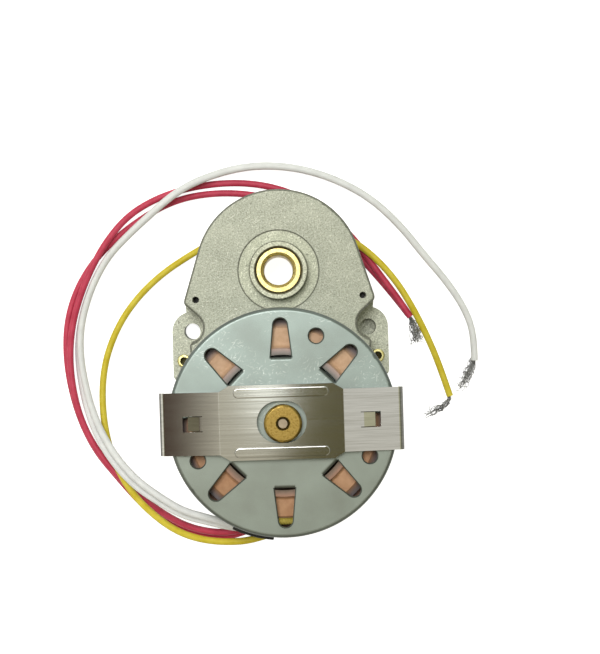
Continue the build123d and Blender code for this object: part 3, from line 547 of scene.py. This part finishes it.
# plain metals and plastics are given by their dark and light tone, their roughness and the grain's scale
finishes = {
    "castMetal": castMetal("castMetal", 1.0),
    # a brighter copy of the cast metal, painted light for the back plate
    "plateMetalPaintedLight": castMetal("plateMetalPaintedLight", castFinish["plateLightGain"]),
    "sheet": galvanisedSheet(),
    "strip": brushedStrip(),
    "sleeveBrass": turnedBrass("sleeveBrass", outputAxis, sleeveLook),
    "bushBrass": turnedBrass("bushBrass", motorAxis, bushLook),
    "rivetBrass": rivetBrass(),
    "gearBrass": plainMetal("gearBrass", (0.55, 0.39, 0.15), (0.78, 0.60, 0.28), 0.34),
    "steel": plainMetal("groundSteel", (0.42, 0.41, 0.39), (0.62, 0.61, 0.59), 0.32),
    "shaftSteel": plainMetal("shaftSteel", (0.31, 0.25, 0.18), (0.45, 0.365, 0.265), 0.32),
    "darkSteel": plainMetal("blackenedSteel", (0.03, 0.03, 0.03), (0.07, 0.07, 0.07), 0.45),
    "strand": plainMetal("tinnedStrand", (0.22, 0.22, 0.22), (0.58, 0.58, 0.59), 0.38),
    "ferrite": mouldedPlastic("sinteredFerrite", (0.035, 0.035, 0.04), (0.07, 0.07, 0.075), 0.6),
    "hub": mouldedPlastic("hubPlastic", (0.60, 0.58, 0.52), (0.72, 0.70, 0.64), 0.45),
    "bobbin": shadePaintedBobbin(),
    "black": mouldedPlastic("blackPlastic", (0.010, 0.010, 0.010), (0.022, 0.022, 0.020), 0.45),
    "white": mouldedPlastic("whiteInsulation", (0.75, 0.755, 0.76), (0.84, 0.845, 0.85), 0.5, 900.0),
    "red": mouldedPlastic("redInsulation", (0.51, 0.036, 0.08), (0.61, 0.06, 0.115), 0.5, 900.0),
    "yellow": mouldedPlastic("yellowInsulation", (0.64, 0.50, 0.02), (0.75, 0.62, 0.06), 0.5, 900.0),
    "fibre": mouldedPlastic("yellowThread", (0.30, 0.235, 0.025), (0.58, 0.475, 0.10), 0.6, 2500.0),
    "winding": copperWinding(),
}
print("finishes made:", len(finishes))

# Leads, from the exit block to the bared end; the points are the route, in metres

leadShape = {"diameter": 0.0019, "stiffness": "medium", "roundness": 5, "smoothness": 10}
leads = {
    "white_lead_1": {
        "finish": "white", "slot": "white_insulation", "length": 0.2482, "tip": (0.0503, -0.0346, 0.0012),
        "route": [
            (-0.0108, -0.0689, 0.0290), (-0.0160, -0.0671, 0.0289), (-0.0211, -0.0656, 0.0278),
            (-0.0275, -0.0642, 0.0245), (-0.0343, -0.0607, 0.0195), (-0.0415, -0.0562, 0.0135),
            (-0.0478, -0.0495, 0.0082), (-0.0525, -0.0410, 0.0056), (-0.0554, -0.0313, 0.0039),
            (-0.0569, -0.0214, 0.0031), (-0.0562, -0.0124, 0.0031), (-0.0530, -0.0028, 0.0032),
            (-0.0482, 0.0055, 0.0040), (-0.0420, 0.0115, 0.0050), (-0.0360, 0.0166, 0.0058),
            (-0.0303, 0.0214, 0.0060), (-0.0242, 0.0252, 0.0054), (-0.0168, 0.0280, 0.0039),
            (-0.0080, 0.0299, 0.0031), (0.0013, 0.0298, 0.0031), (0.0106, 0.0279, 0.0031),
            (0.0196, 0.0242, 0.0031), (0.0275, 0.0192, 0.0031), (0.0349, 0.0118, 0.0031),
            (0.0412, 0.0034, 0.0031), (0.0476, -0.0044, 0.0031), (0.0525, -0.0122, 0.0031),
            (0.0549, -0.0199, 0.0031), (0.0547, -0.0268, 0.0031),
        ],
    },
    "white_lead_2": {
        "finish": "white", "slot": "white_insulation", "length": 0.2491, "tip": (0.0520, -0.0318, 0.0006),
        "route": [
            (-0.0109, -0.0691, 0.0269), (-0.0161, -0.0683, 0.0267), (-0.0212, -0.0671, 0.0254),
            (-0.0277, -0.0659, 0.0218), (-0.0346, -0.0627, 0.0165), (-0.0424, -0.0582, 0.0106),
            (-0.0496, -0.0504, 0.0060), (-0.0543, -0.0411, 0.0036), (-0.0568, -0.0314, 0.0017),
            (-0.0578, -0.0214, 0.0010), (-0.0566, -0.0121, 0.0010), (-0.0533, -0.0025, 0.0011),
            (-0.0484, 0.0058, 0.0019), (-0.0422, 0.0118, 0.0029), (-0.0361, 0.0170, 0.0037),
            (-0.0304, 0.0218, 0.0039), (-0.0243, 0.0256, 0.0033), (-0.0169, 0.0285, 0.0017),
            (-0.0081, 0.0304, 0.0010), (0.0013, 0.0303, 0.0010), (0.0107, 0.0283, 0.0010),
            (0.0197, 0.0246, 0.0010), (0.0276, 0.0196, 0.0010), (0.0351, 0.0122, 0.0010),
            (0.0414, 0.0038, 0.0010), (0.0478, -0.0041, 0.0010), (0.0526, -0.0119, 0.0010),
            (0.0549, -0.0188, 0.0010), (0.0549, -0.0245, 0.0010),
        ],
    },
    "red_lead_1": {
        "finish": "red", "slot": "red_insulation", "length": 0.2246, "tip": (0.0382, -0.0208, 0.0006),
        "route": [
            (-0.0091, -0.0698, 0.0214), (-0.0146, -0.0720, 0.0208), (-0.0218, -0.0725, 0.0179),
            (-0.0280, -0.0711, 0.0128), (-0.0344, -0.0686, 0.0074), (-0.0411, -0.0643, 0.0030),
            (-0.0474, -0.0570, 0.0012), (-0.0530, -0.0501, 0.0010), (-0.0571, -0.0418, 0.0010),
            (-0.0598, -0.0324, 0.0010), (-0.0611, -0.0225, 0.0010), (-0.0606, -0.0128, 0.0010),
            (-0.0580, -0.0044, 0.0010), (-0.0535, 0.0032, 0.0010), (-0.0475, 0.0096, 0.0010),
            (-0.0404, 0.0150, 0.0010), (-0.0331, 0.0193, 0.0010), (-0.0257, 0.0219, 0.0010),
            (-0.0171, 0.0229, 0.0010), (-0.0083, 0.0224, 0.0010), (-0.0001, 0.0204, 0.0010),
            (0.0078, 0.0169, 0.0010), (0.0148, 0.0120, 0.0010), (0.0207, 0.0063, 0.0010),
            (0.02575, 0.0006, 0.0010), (0.0302, -0.0048, 0.0010), (0.03385, -0.0095, 0.0010),
            (0.0366, -0.0133, 0.0010),
        ],
    },
    "red_lead_2": {
        "finish": "red", "slot": "red_insulation", "length": 0.2264, "tip": (0.0392, -0.0206, 0.0017),
        "route": [
            (-0.0100, -0.0694, 0.0236), (-0.0154, -0.0706, 0.0230), (-0.0216, -0.0704, 0.0207),
            (-0.0278, -0.0693, 0.0158), (-0.0342, -0.0665, 0.0103), (-0.0409, -0.0623, 0.0056),
            (-0.0472, -0.0564, 0.0034), (-0.0528, -0.0494, 0.0031), (-0.0569, -0.0412, 0.0031),
            (-0.0592, -0.0321, 0.0030), (-0.0599, -0.0222, 0.0028), (-0.0588, -0.0128, 0.0026),
            (-0.0560, -0.0041, 0.0026), (-0.0523, 0.0037, 0.0032), (-0.0480, 0.0106, 0.0033),
            (-0.0422, 0.0171, 0.0024), (-0.0348, 0.0215, 0.0014), (-0.0262, 0.0243, 0.0010),
            (-0.0170, 0.0256, 0.0010), (-0.0082, 0.0255, 0.0010), (0.0000, 0.0239, 0.0010),
            (0.0070, 0.0210, 0.0010), (0.0135, 0.0169, 0.0010), (0.0187, 0.0120, 0.0010),
            (0.0230, 0.0070, 0.0016), (0.0269, 0.0008, 0.0028), (0.0309, -0.0048, 0.0030),
            (0.0344, -0.0099, 0.0031), (0.0369, -0.0139, 0.0031),
        ],
    },
    "yellow_lead": {
        "finish": "yellow", "slot": "yellow_insulation", "length": 0.2281, "tip": (0.0416, -0.0416, 0.0006),
        "route": [
            (-0.0039, -0.0708, 0.0253), (-0.0089, -0.0724, 0.0252), (-0.0149, -0.0729, 0.0247),
            (-0.0222, -0.0726, 0.0222), (-0.0296, -0.0708, 0.0179), (-0.0366, -0.0666, 0.0129),
            (-0.0431, -0.0607, 0.0080), (-0.0476, -0.0532, 0.0049), (-0.0503, -0.0446, 0.0025),
            (-0.0512, -0.0356, 0.0013), (-0.0506, -0.0268, 0.0010), (-0.0484, -0.0192, 0.0010),
            (-0.0446, -0.0117, 0.0010), (-0.0393, -0.0051, 0.0010), (-0.0328, 0.0006, 0.0010),
            (-0.0256, 0.0051, 0.0011), (-0.0181, 0.0091, 0.0016), (-0.0100, 0.0122, 0.0024),
            (-0.0014, 0.0135, 0.0031), (0.0073, 0.0129, 0.0032), (0.0155, 0.0109, 0.0032),
            (0.0224, 0.0074, 0.0037), (0.0282, 0.0023, 0.0043), (0.0332, -0.0038, 0.0043),
            (0.0372, -0.0106, 0.0044), (0.0411, -0.0184, 0.0026), (0.0449, -0.0276, 0.0011),
            (0.0477, -0.0368, 0.0010),
        ],
    },
}


# a piece with its finish and the body that it moves with
def linkPiece(name, data, finish, body="base"):
    piece = bpy.data.objects.new(name, data)
    bpy.context.scene.collection.objects.link(piece)
    data.materials.clear()
    data.materials.append(finishes[finish])
    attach(piece, body)
    return piece


# a round cord along one smooth line that the route's points steer
def makeLead(name, lead):
    curve = bpy.data.curves.new(name + "_cord", "CURVE")
    curve.dimensions = "3D"
    line = curve.splines.new("NURBS")
    line.points.add(len(lead["route"]) - 1)
    for point, place in zip(line.points, lead["route"]):
        point.co = (*place, 1.0)
    line.order_u = 3
    line.use_endpoint_u = True
    line.resolution_u = leadShape["smoothness"]
    curve.bevel_depth = leadShape["diameter"] / 2
    curve.bevel_resolution = leadShape["roundness"]
    curve.use_fill_caps = True
    piece = linkPiece(name + "_cord", curve, lead["finish"])
    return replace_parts(piece, name)


# Tube surfaces, many at once: point j of ring i is centre[i] + r (cos a[j] e1[i] + sin a[j] e2[i])


# faces of four corners between rings that are neighbours, and a cap on both ends of every tube
def tubeFaces(tubes, rings, sides):
    tube, ring, side = np.meshgrid(np.arange(tubes), np.arange(rings - 1), np.arange(sides), indexing="ij")
    first = (tube * rings + ring) * sides
    after = (side + 1) % sides
    quads = np.stack([first + side, first + after, first + sides + after, first + sides + side], axis=-1)
    starts = np.arange(tubes)[:, None] * rings * sides + np.arange(sides)[None, ::-1]
    ends = np.arange(tubes)[:, None] * rings * sides + (rings - 1) * sides + np.arange(sides)[None, :]
    return quads.reshape(-1, 4).tolist() + starts.tolist() + ends.tolist()


def shadeSmooth(mesh):
    mesh.polygons.foreach_set("use_smooth", np.ones(len(mesh.polygons), bool))


def meshFrom(name, points, faces):
    mesh = bpy.data.meshes.new(name)
    mesh.from_pydata(np.asarray(points).reshape(-1, 3), [], faces)
    shadeSmooth(mesh)
    mesh.update()
    return mesh


# two directions square to a path at each of its points
def squareTo(path):
    along = np.gradient(path, axis=-2)
    along /= np.linalg.norm(along, axis=-1, keepdims=True)
    sideways = np.cross(along, np.array([0.0, 0.0, 1.0]))
    sideways /= np.linalg.norm(sideways, axis=-1, keepdims=True)
    return sideways, np.cross(sideways, along)


# unit circle square to a path at each of its points
def ringAround(path, sides):
    e1, e2 = squareTo(path)
    angle = np.linspace(0.0, 2 * np.pi, sides, endpoint=False)
    return np.cos(angle)[:, None] * e1[..., None, :] + np.sin(angle)[:, None] * e2[..., None, :]


# Bare strands at the ends of the leads

strandShape = {
    "count": 17, "wire": 0.00008, "steps": 44, "sides": 6,
    "back": 0.0008, "bend": 0.0024,        # the curve starts inside the lead and first goes straight on
    "reach": (0.86, 1.08),                 # where a wire ends, as a share of the way to the tip
    "twist": 5.0,                          # radians along the way
    # radius of the bundle, by share of the way
    "spread": ([0.0, 0.3, 0.65, 1.0], [0.00055, 0.00050, 0.00085, 0.00100]),
    "fill": (0.08, 1.0),                   # a wire's share of that radius, squared
    "stray": 0.00075, "waves": (1.5, 4.5),
    "firstSeed": 11,
}


# wire k turns about a quadratic curve from the lead's end to its tip, at its own share of the spread,
# and strays from it in slow waves that grow towards the tip
def makeStrands(name, lead, seed):
    chance = np.random.default_rng(seed)
    count, steps, sides = strandShape["count"], strandShape["steps"], strandShape["sides"]
    end, tip = np.array(lead["route"][-1]), np.array(lead["tip"])
    ahead = end - np.array(lead["route"][-2])
    ahead /= np.linalg.norm(ahead)
    start, bend = end - strandShape["back"] * ahead, end + strandShape["bend"] * ahead
    t = np.linspace(0.0, 1.0, steps) * chance.uniform(*strandShape["reach"], (count, 1))
    s = t[..., None]
    path = (1 - s) ** 2 * start + 2 * s * (1 - s) * bend + s ** 2 * tip
    across, up = squareTo(path)
    turn = (chance.uniform(0.0, 2 * np.pi, (count, 1)) + strandShape["twist"] * t)[..., None]
    share = np.sqrt(chance.uniform(*strandShape["fill"], (count, 1)))
    out = (share * np.interp(t, *strandShape["spread"]))[..., None]
    wave = chance.uniform(*strandShape["waves"], (count, 1, 3)) * 2 * np.pi * s
    wave += chance.uniform(0.0, 2 * np.pi, (count, 1, 3))
    stray = strandShape["stray"] * np.sin(wave) * np.clip(s, 0.0, 1.0)
    line = path + out * (np.cos(turn) * across + np.sin(turn) * up) + stray
    line[..., 2] = np.maximum(line[..., 2], strandShape["wire"])
    points = line[..., None, :] + strandShape["wire"] * ringAround(line, sides)
    mesh = meshFrom(name, points, tubeFaces(count, steps, sides))
    return linkPiece(name, mesh, "strand")


for number, (name, lead) in enumerate(leads.items()):
    cord = makeLead(name, lead)
    strands = makeStrands(name + "_strands", lead, strandShape["firstSeed"] + number)
    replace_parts(strands, "stripped_ends")
print("leads laid:", len(leads))

# Castings, sheet and turned pieces keep their shape and get rounded edges; width is in metres

softEdges = {
    "gear_case": {"finish": "castMetal", "slot": "die_cast", "width": 0.00025, "body": "base"},
    "back_plate": {"finish": "plateMetalPaintedLight", "slot": "die_cast", "width": 0.00030, "body": "base"},
    "motor_can": {"finish": "sheet", "slot": "galvanised_sheet", "width": 0.00010, "body": "base"},
    "mount_plate": {"finish": "sheet", "slot": "galvanised_sheet", "width": 0.00015, "body": "base"},
    "spring_clip": {"finish": "strip", "slot": "spring_steel", "width": 0.00020, "body": "base"},
    "rear_bush": {"finish": "bushBrass", "slot": "brass", "width": 0.00012, "body": "base"},
    "output_sleeve": {"finish": "sleeveBrass", "slot": "brass", "width": 0.00012, "body": "output"},
    "lead_block": {"finish": "black", "slot": "black_plastic", "width": 0.00025, "body": "base"},
}
rounding = {
    "edgeAngle": math.radians(28.0), "flatAngle": math.radians(0.4),
    "weld": 1e-6, "segments": 2, "faceWeight": 100,
}


# a welded copy of the solid's mesh, whose edges sharper than the edge angle are bevelled
def softened(name, edge):
    mesh = nodes[name].data.copy()
    mesh.name = name + "_finish"
    if "custom_normal" in mesh.attributes:
        mesh.attributes.remove(mesh.attributes["custom_normal"])
    work = bmesh.new()
    work.from_mesh(mesh)
    bmesh.ops.remove_doubles(work, verts=work.verts[:], dist=rounding["weld"])
    bmesh.ops.dissolve_limit(
        work, angle_limit=rounding["flatAngle"], verts=work.verts[:], edges=work.edges[:],
    )
    work.to_mesh(mesh)
    work.free()
    shadeSmooth(mesh)
    mesh.set_sharp_from_angle(angle=rounding["edgeAngle"])
    piece = linkPiece(name + "_finish", mesh, edge["finish"], edge["body"])
    bevel = piece.modifiers.new("edges", "BEVEL")
    bevel.width = edge["width"]
    bevel.segments = rounding["segments"]
    bevel.limit_method = "ANGLE"
    bevel.angle_limit = rounding["edgeAngle"]
    # wide faces stay flat right up to their rounded rims
    shading = piece.modifiers.new("shading", "WEIGHTED_NORMAL")
    shading.mode = "FACE_AREA"
    shading.weight = rounding["faceWeight"]
    shading.keep_sharp = True
    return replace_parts(piece, name)


for name, edge in softEdges.items():
    softened(name, edge)
print("edges rounded:", len(softEdges))

# Upper winding, which shows in the can's slots

windingShape = {
    "inner": 0.0185, "collar": 0.01936, "shoulder": 0.0022,
    "wire": 0.0003, "ripple": 0.1,         # the ripple is a share of the wire
    "filletWidth": 0.0010, "filletHeight": 0.0012,
    "around": 220, "samples": 4,           # steps round the axis, and across each wire
}


# a closed section carried round the motor axis: level on top, sloping by 45 degrees at the shoulder,
# with a faint ripple for each wire under the varnish
def makeWinding():
    low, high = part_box("upper_coil")
    outer = (high.x - low.x) / 2
    inner, pitch, fall = windingShape["inner"], windingShape["wire"], windingShape["shoulder"]
    collar = windingShape["collar"]
    wires = int((outer - collar) / pitch)
    s = np.linspace(0.0, 1.0, wires * windingShape["samples"])
    # |sin| makes round wires side by side; the ripple goes inwards from the plain outline
    dip = pitch * windingShape["ripple"] * (1.0 - np.abs(np.sin(np.pi * wires * s)))
    r = collar + s * (outer - collar)
    slope = np.clip(r - (outer - fall), 0.0, None)
    # varnish climbs to the spool's collar in a parabola
    climb = np.clip(1.0 - (r - collar) / windingShape["filletWidth"], 0.0, 1.0) ** 2
    top = np.stack([r, high.z - dip - slope + windingShape["filletHeight"] * climb], axis=-1)
    section = np.concatenate([top, [[outer, low.z], [inner, low.z], [inner, high.z], [collar, high.z]]])
    angle = np.linspace(0.0, 2 * np.pi, windingShape["around"], endpoint=False)
    x = motorAxis[0] + section[None, :, 0] * np.cos(angle)[:, None]
    y = motorAxis[1] + section[None, :, 0] * np.sin(angle)[:, None]
    z = np.broadcast_to(section[None, :, 1], x.shape)
    rows, columns = x.shape
    row, column = np.meshgrid(np.arange(rows), np.arange(columns), indexing="ij")
    nextRow, nextColumn = (row + 1) % rows, (column + 1) % columns
    corners = [row * columns + column, row * columns + nextColumn,
               nextRow * columns + nextColumn, nextRow * columns + column]
    faces = np.stack(corners, axis=-1).reshape(-1, 4)
    mesh = meshFrom("upper_winding", np.stack([x, y, z], axis=-1), faces.tolist())
    piece = linkPiece("upper_winding", mesh, "winding")
    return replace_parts(piece, "upper_coil")


makeWinding()

# Yellow sleeve inside the can; start and sweep are degrees round the motor axis

tailShape = {
    "radius": 0.0259, "start": -114.0, "sweep": 46.0,
    "core": 0.00066, "thread": 0.00019, "wrap": 0.00073,       # wrap is the radius at which the threads run
    "count": 3, "turns": 17, "steps": 16, "sides": 6,
}


# a core along an arc about the motor axis, wrapped in a few threads, where thread k is
# centre(t) + r (cos a e1 + sin a e2) with a = 2 pi (turns t + k / count)
def makeTail():
    low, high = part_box("coil_tail")
    count, sides = tailShape["count"], tailShape["sides"]
    rings = tailShape["turns"] * tailShape["steps"]
    t = np.linspace(0.0, 1.0, rings)
    angle = np.radians(tailShape["start"] + tailShape["sweep"] * t)
    centre = np.stack([
        motorAxis[0] + tailShape["radius"] * np.cos(angle),
        motorAxis[1] + tailShape["radius"] * np.sin(angle),
        np.full(angle.shape, (low.z + high.z) / 2),
    ], axis=-1)
    e1, e2 = squareTo(centre)
    turn = 2 * np.pi * (tailShape["turns"] * t[None, :] + np.arange(count)[:, None] / count)
    threads = centre + tailShape["wrap"] * (np.cos(turn)[..., None] * e1 + np.sin(turn)[..., None] * e2)
    wraps = threads[..., None, :] + tailShape["thread"] * ringAround(threads, sides)
    core = centre[None, :, None, :] + tailShape["core"] * ringAround(centre, sides)[None]
    points = np.concatenate([wraps, core])
    mesh = meshFrom("coil_tail_sleeve", points, tubeFaces(count + 1, rings, sides))
    piece = linkPiece("coil_tail_sleeve", mesh, "fibre")
    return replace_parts(piece, "coil_tail")


makeTail()
print("winding and sleeve made")

# The other pieces keep their solids and take their finish

plainPieces = {
    "bushBrass": ["front_bush"],
    "rivetBrass": ["ear_rivets"],
    "darkSteel": ["case_screws"],
    "gearBrass": ["output_gear", "first_wheel", "second_wheel"],
    "shaftSteel": ["rotor_shaft"],
    "steel": ["gear_arbors", "output_washers", "rotor_washers",
              "first_pinion", "second_pinion", "motor_pinion"],
    "sheet": ["upper_pole_plate", "lower_pole_plate"],
    "ferrite": ["rotor_magnet"],
    "hub": ["rotor_hub"],
    "bobbin": ["upper_bobbin", "lower_bobbin"],
    "winding": ["lower_coil"],
}
for finish, names in plainPieces.items():
    for name in names:
        nodes[name].data.materials.clear()
        nodes[name].data.materials.append(finishes[finish])
print("plain pieces finished")

# Studio: pale floor, a soft lamp above the upper left, and a tent of light with darker bands overhead

studio = {
    "floorSize": 6.0,
    "floorDrop": 0.00005,             # how far the floor lies under the part
    "floorGlow": 0.93,
    "floorMirror": 0.5,               # the floor's glow as polished pieces show it
    "floorColour": (0.72, 0.72, 0.72),
    "keyPlace": (-0.12, 0.21, 0.78),
    "keyTarget": (0.0, -0.02, 0.03),
    "keySize": 0.40,
    "keyPower": 3.6,
    # colour of the tent across X, from the left horizon over the top, where 0 is, to the right horizon
    "tent": [
        (-1.0, (0.90, 0.90, 0.86)), (-0.80, (1.00, 1.00, 0.95)), (-0.68, (0.90, 0.90, 0.84)),
        (-0.61, (0.20, 0.185, 0.13)), (-0.48, (0.20, 0.185, 0.13)), (-0.33, (0.07, 0.042, 0.032)),
        (-0.281, (0.07, 0.044, 0.034)), (-0.266, (0.34, 0.32, 0.27)), (-0.250, (0.60, 0.58, 0.50)),
        (-0.22, (1.20, 1.19, 1.10)), (-0.10, (0.60, 0.58, 0.50)), (-0.030, (0.56, 0.54, 0.46)),
        (-0.012, (0.62, 0.60, 0.52)), (0.006, (0.15, 0.138, 0.07)), (0.04, (0.12, 0.11, 0.055)),
        (0.10, (0.20, 0.185, 0.12)), (0.20, (0.55, 0.54, 0.48)), (0.25, (0.71, 0.71, 0.69)),
        (0.32, (0.73, 0.73, 0.71)), (0.42, (0.52, 0.52, 0.40)), (0.60, (0.56, 0.56, 0.41)),
        (0.68, (0.22, 0.225, 0.18)), (0.96, (0.18, 0.185, 0.16)), (1.0, (0.80, 0.80, 0.76)),
    ],
    # tint of the tent along Y, from the near horizon to the far one: cooler and brighter at the far side
    "depth": [
        (-1.0, (1.00, 0.98, 0.90)), (-0.5, (0.70, 0.67, 0.58)), (-0.2, (0.72, 0.69, 0.60)),
        (0.0, (0.93, 0.93, 0.90)), (0.6, (1.08, 1.15, 1.10)), (1.0, (2.00, 2.10, 2.05)),
    ],
    # a bright patch right overhead, by its edges across X and along Y
    "windowAcross": grey((-0.026, 0.0), (-0.018, 1.0), (-0.004, 1.0), (0.006, 0.0)),
    "windowAlong": grey((-0.092, 0.0), (-0.066, 1.0), (0.10, 1.0), (0.14, 0.0)),
    "windowColour": (1.30, 1.34, 1.24),
}


# white for what looks straight at it; the shadow shows in the part of the floor that takes light
def makeFloor():
    material = bpy.data.materials.new("floor")
    tree, end = emptyTree(material, "OutputMaterial")
    rays = add(tree, "LightPath").outputs
    seen = calc(tree, "MAXIMUM", rays["Is Camera Ray"], rays["Is Transmission Ray"])
    mirrored = calc(tree, "MULTIPLY", rays["Is Glossy Ray"], studio["floorMirror"])
    strength = calc(tree, "MAXIMUM", calc(tree, "MULTIPLY", seen, studio["floorGlow"]), mirrored)
    glow = add(tree, "Emission", {"Color": (1.0, 1.0, 1.0, 1.0), "Strength": strength})
    matte = add(tree, "BsdfDiffuse", {"Color": (*studio["floorColour"], 1.0)})
    both = add(tree, "AddShader", {0: glow.outputs[0], 1: matte.outputs[0]})
    tree.links.new(both.outputs[0], end.inputs["Surface"])
    half, low = studio["floorSize"] / 2, -studio["floorDrop"]
    corners = [(-half, -half, low), (half, -half, low), (half, half, low), (-half, half, low)]
    mesh = meshFrom("floor", corners, [[0, 1, 2, 3]])
    mesh.materials.append(material)
    floor = bpy.data.objects.new("floor", mesh)
    bpy.context.scene.collection.objects.link(floor)


# the lamp shines along its own -Z, so it is tilted from straight down and then turned to its heading
def makeKey():
    data = bpy.data.lights.new("key", "AREA")
    data.shape = "DISK"
    data.size = studio["keySize"]
    data.energy = studio["keyPower"]
    key = bpy.data.objects.new("key", data)
    place = np.array(studio["keyPlace"])
    aim = np.array(studio["keyTarget"]) - place
    tilt = math.acos(-aim[2] / np.linalg.norm(aim))
    heading = math.atan2(aim[1], aim[0]) - math.pi / 2
    key.location = place
    key.rotation_euler = (tilt, 0.0, heading)
    bpy.context.scene.collection.objects.link(key)


# colours along a direction that runs from -1 to 1
def sweepOf(tree, way, stops):
    return ramp(tree, calc(tree, "MULTIPLY_ADD", way, 0.5, 0.5), [((x + 1.0) / 2, c) for x, c in stops])


# bands across X with their tint along Y and the bright patch, and white for what looks straight at it
def makeTent():
    world = bpy.data.worlds.new("tent")
    bpy.context.scene.world = world
    tree, end = emptyTree(world, "OutputWorld")
    way = add(tree, "SeparateXYZ", {0: add(tree, "TexCoord").outputs["Generated"]}).outputs
    bands = sweepOf(tree, way["X"], studio["tent"])
    tent = shaded(tree, bands, sweepOf(tree, way["Y"], studio["depth"]))
    across = sweepOf(tree, way["X"], studio["windowAcross"])
    along = sweepOf(tree, way["Y"], studio["windowAlong"])
    tent = mixed(tree, calc(tree, "MULTIPLY", across, along), tent, studio["windowColour"])
    seen = add(tree, "LightPath").outputs["Is Camera Ray"]
    sky = add(tree, "Background", {"Color": mixed(tree, seen, tent, (1.0, 1.0, 1.0))})
    tree.links.new(sky.outputs[0], end.inputs["Surface"])


makeFloor()
makeKey()
makeTent()
print("studio lit")
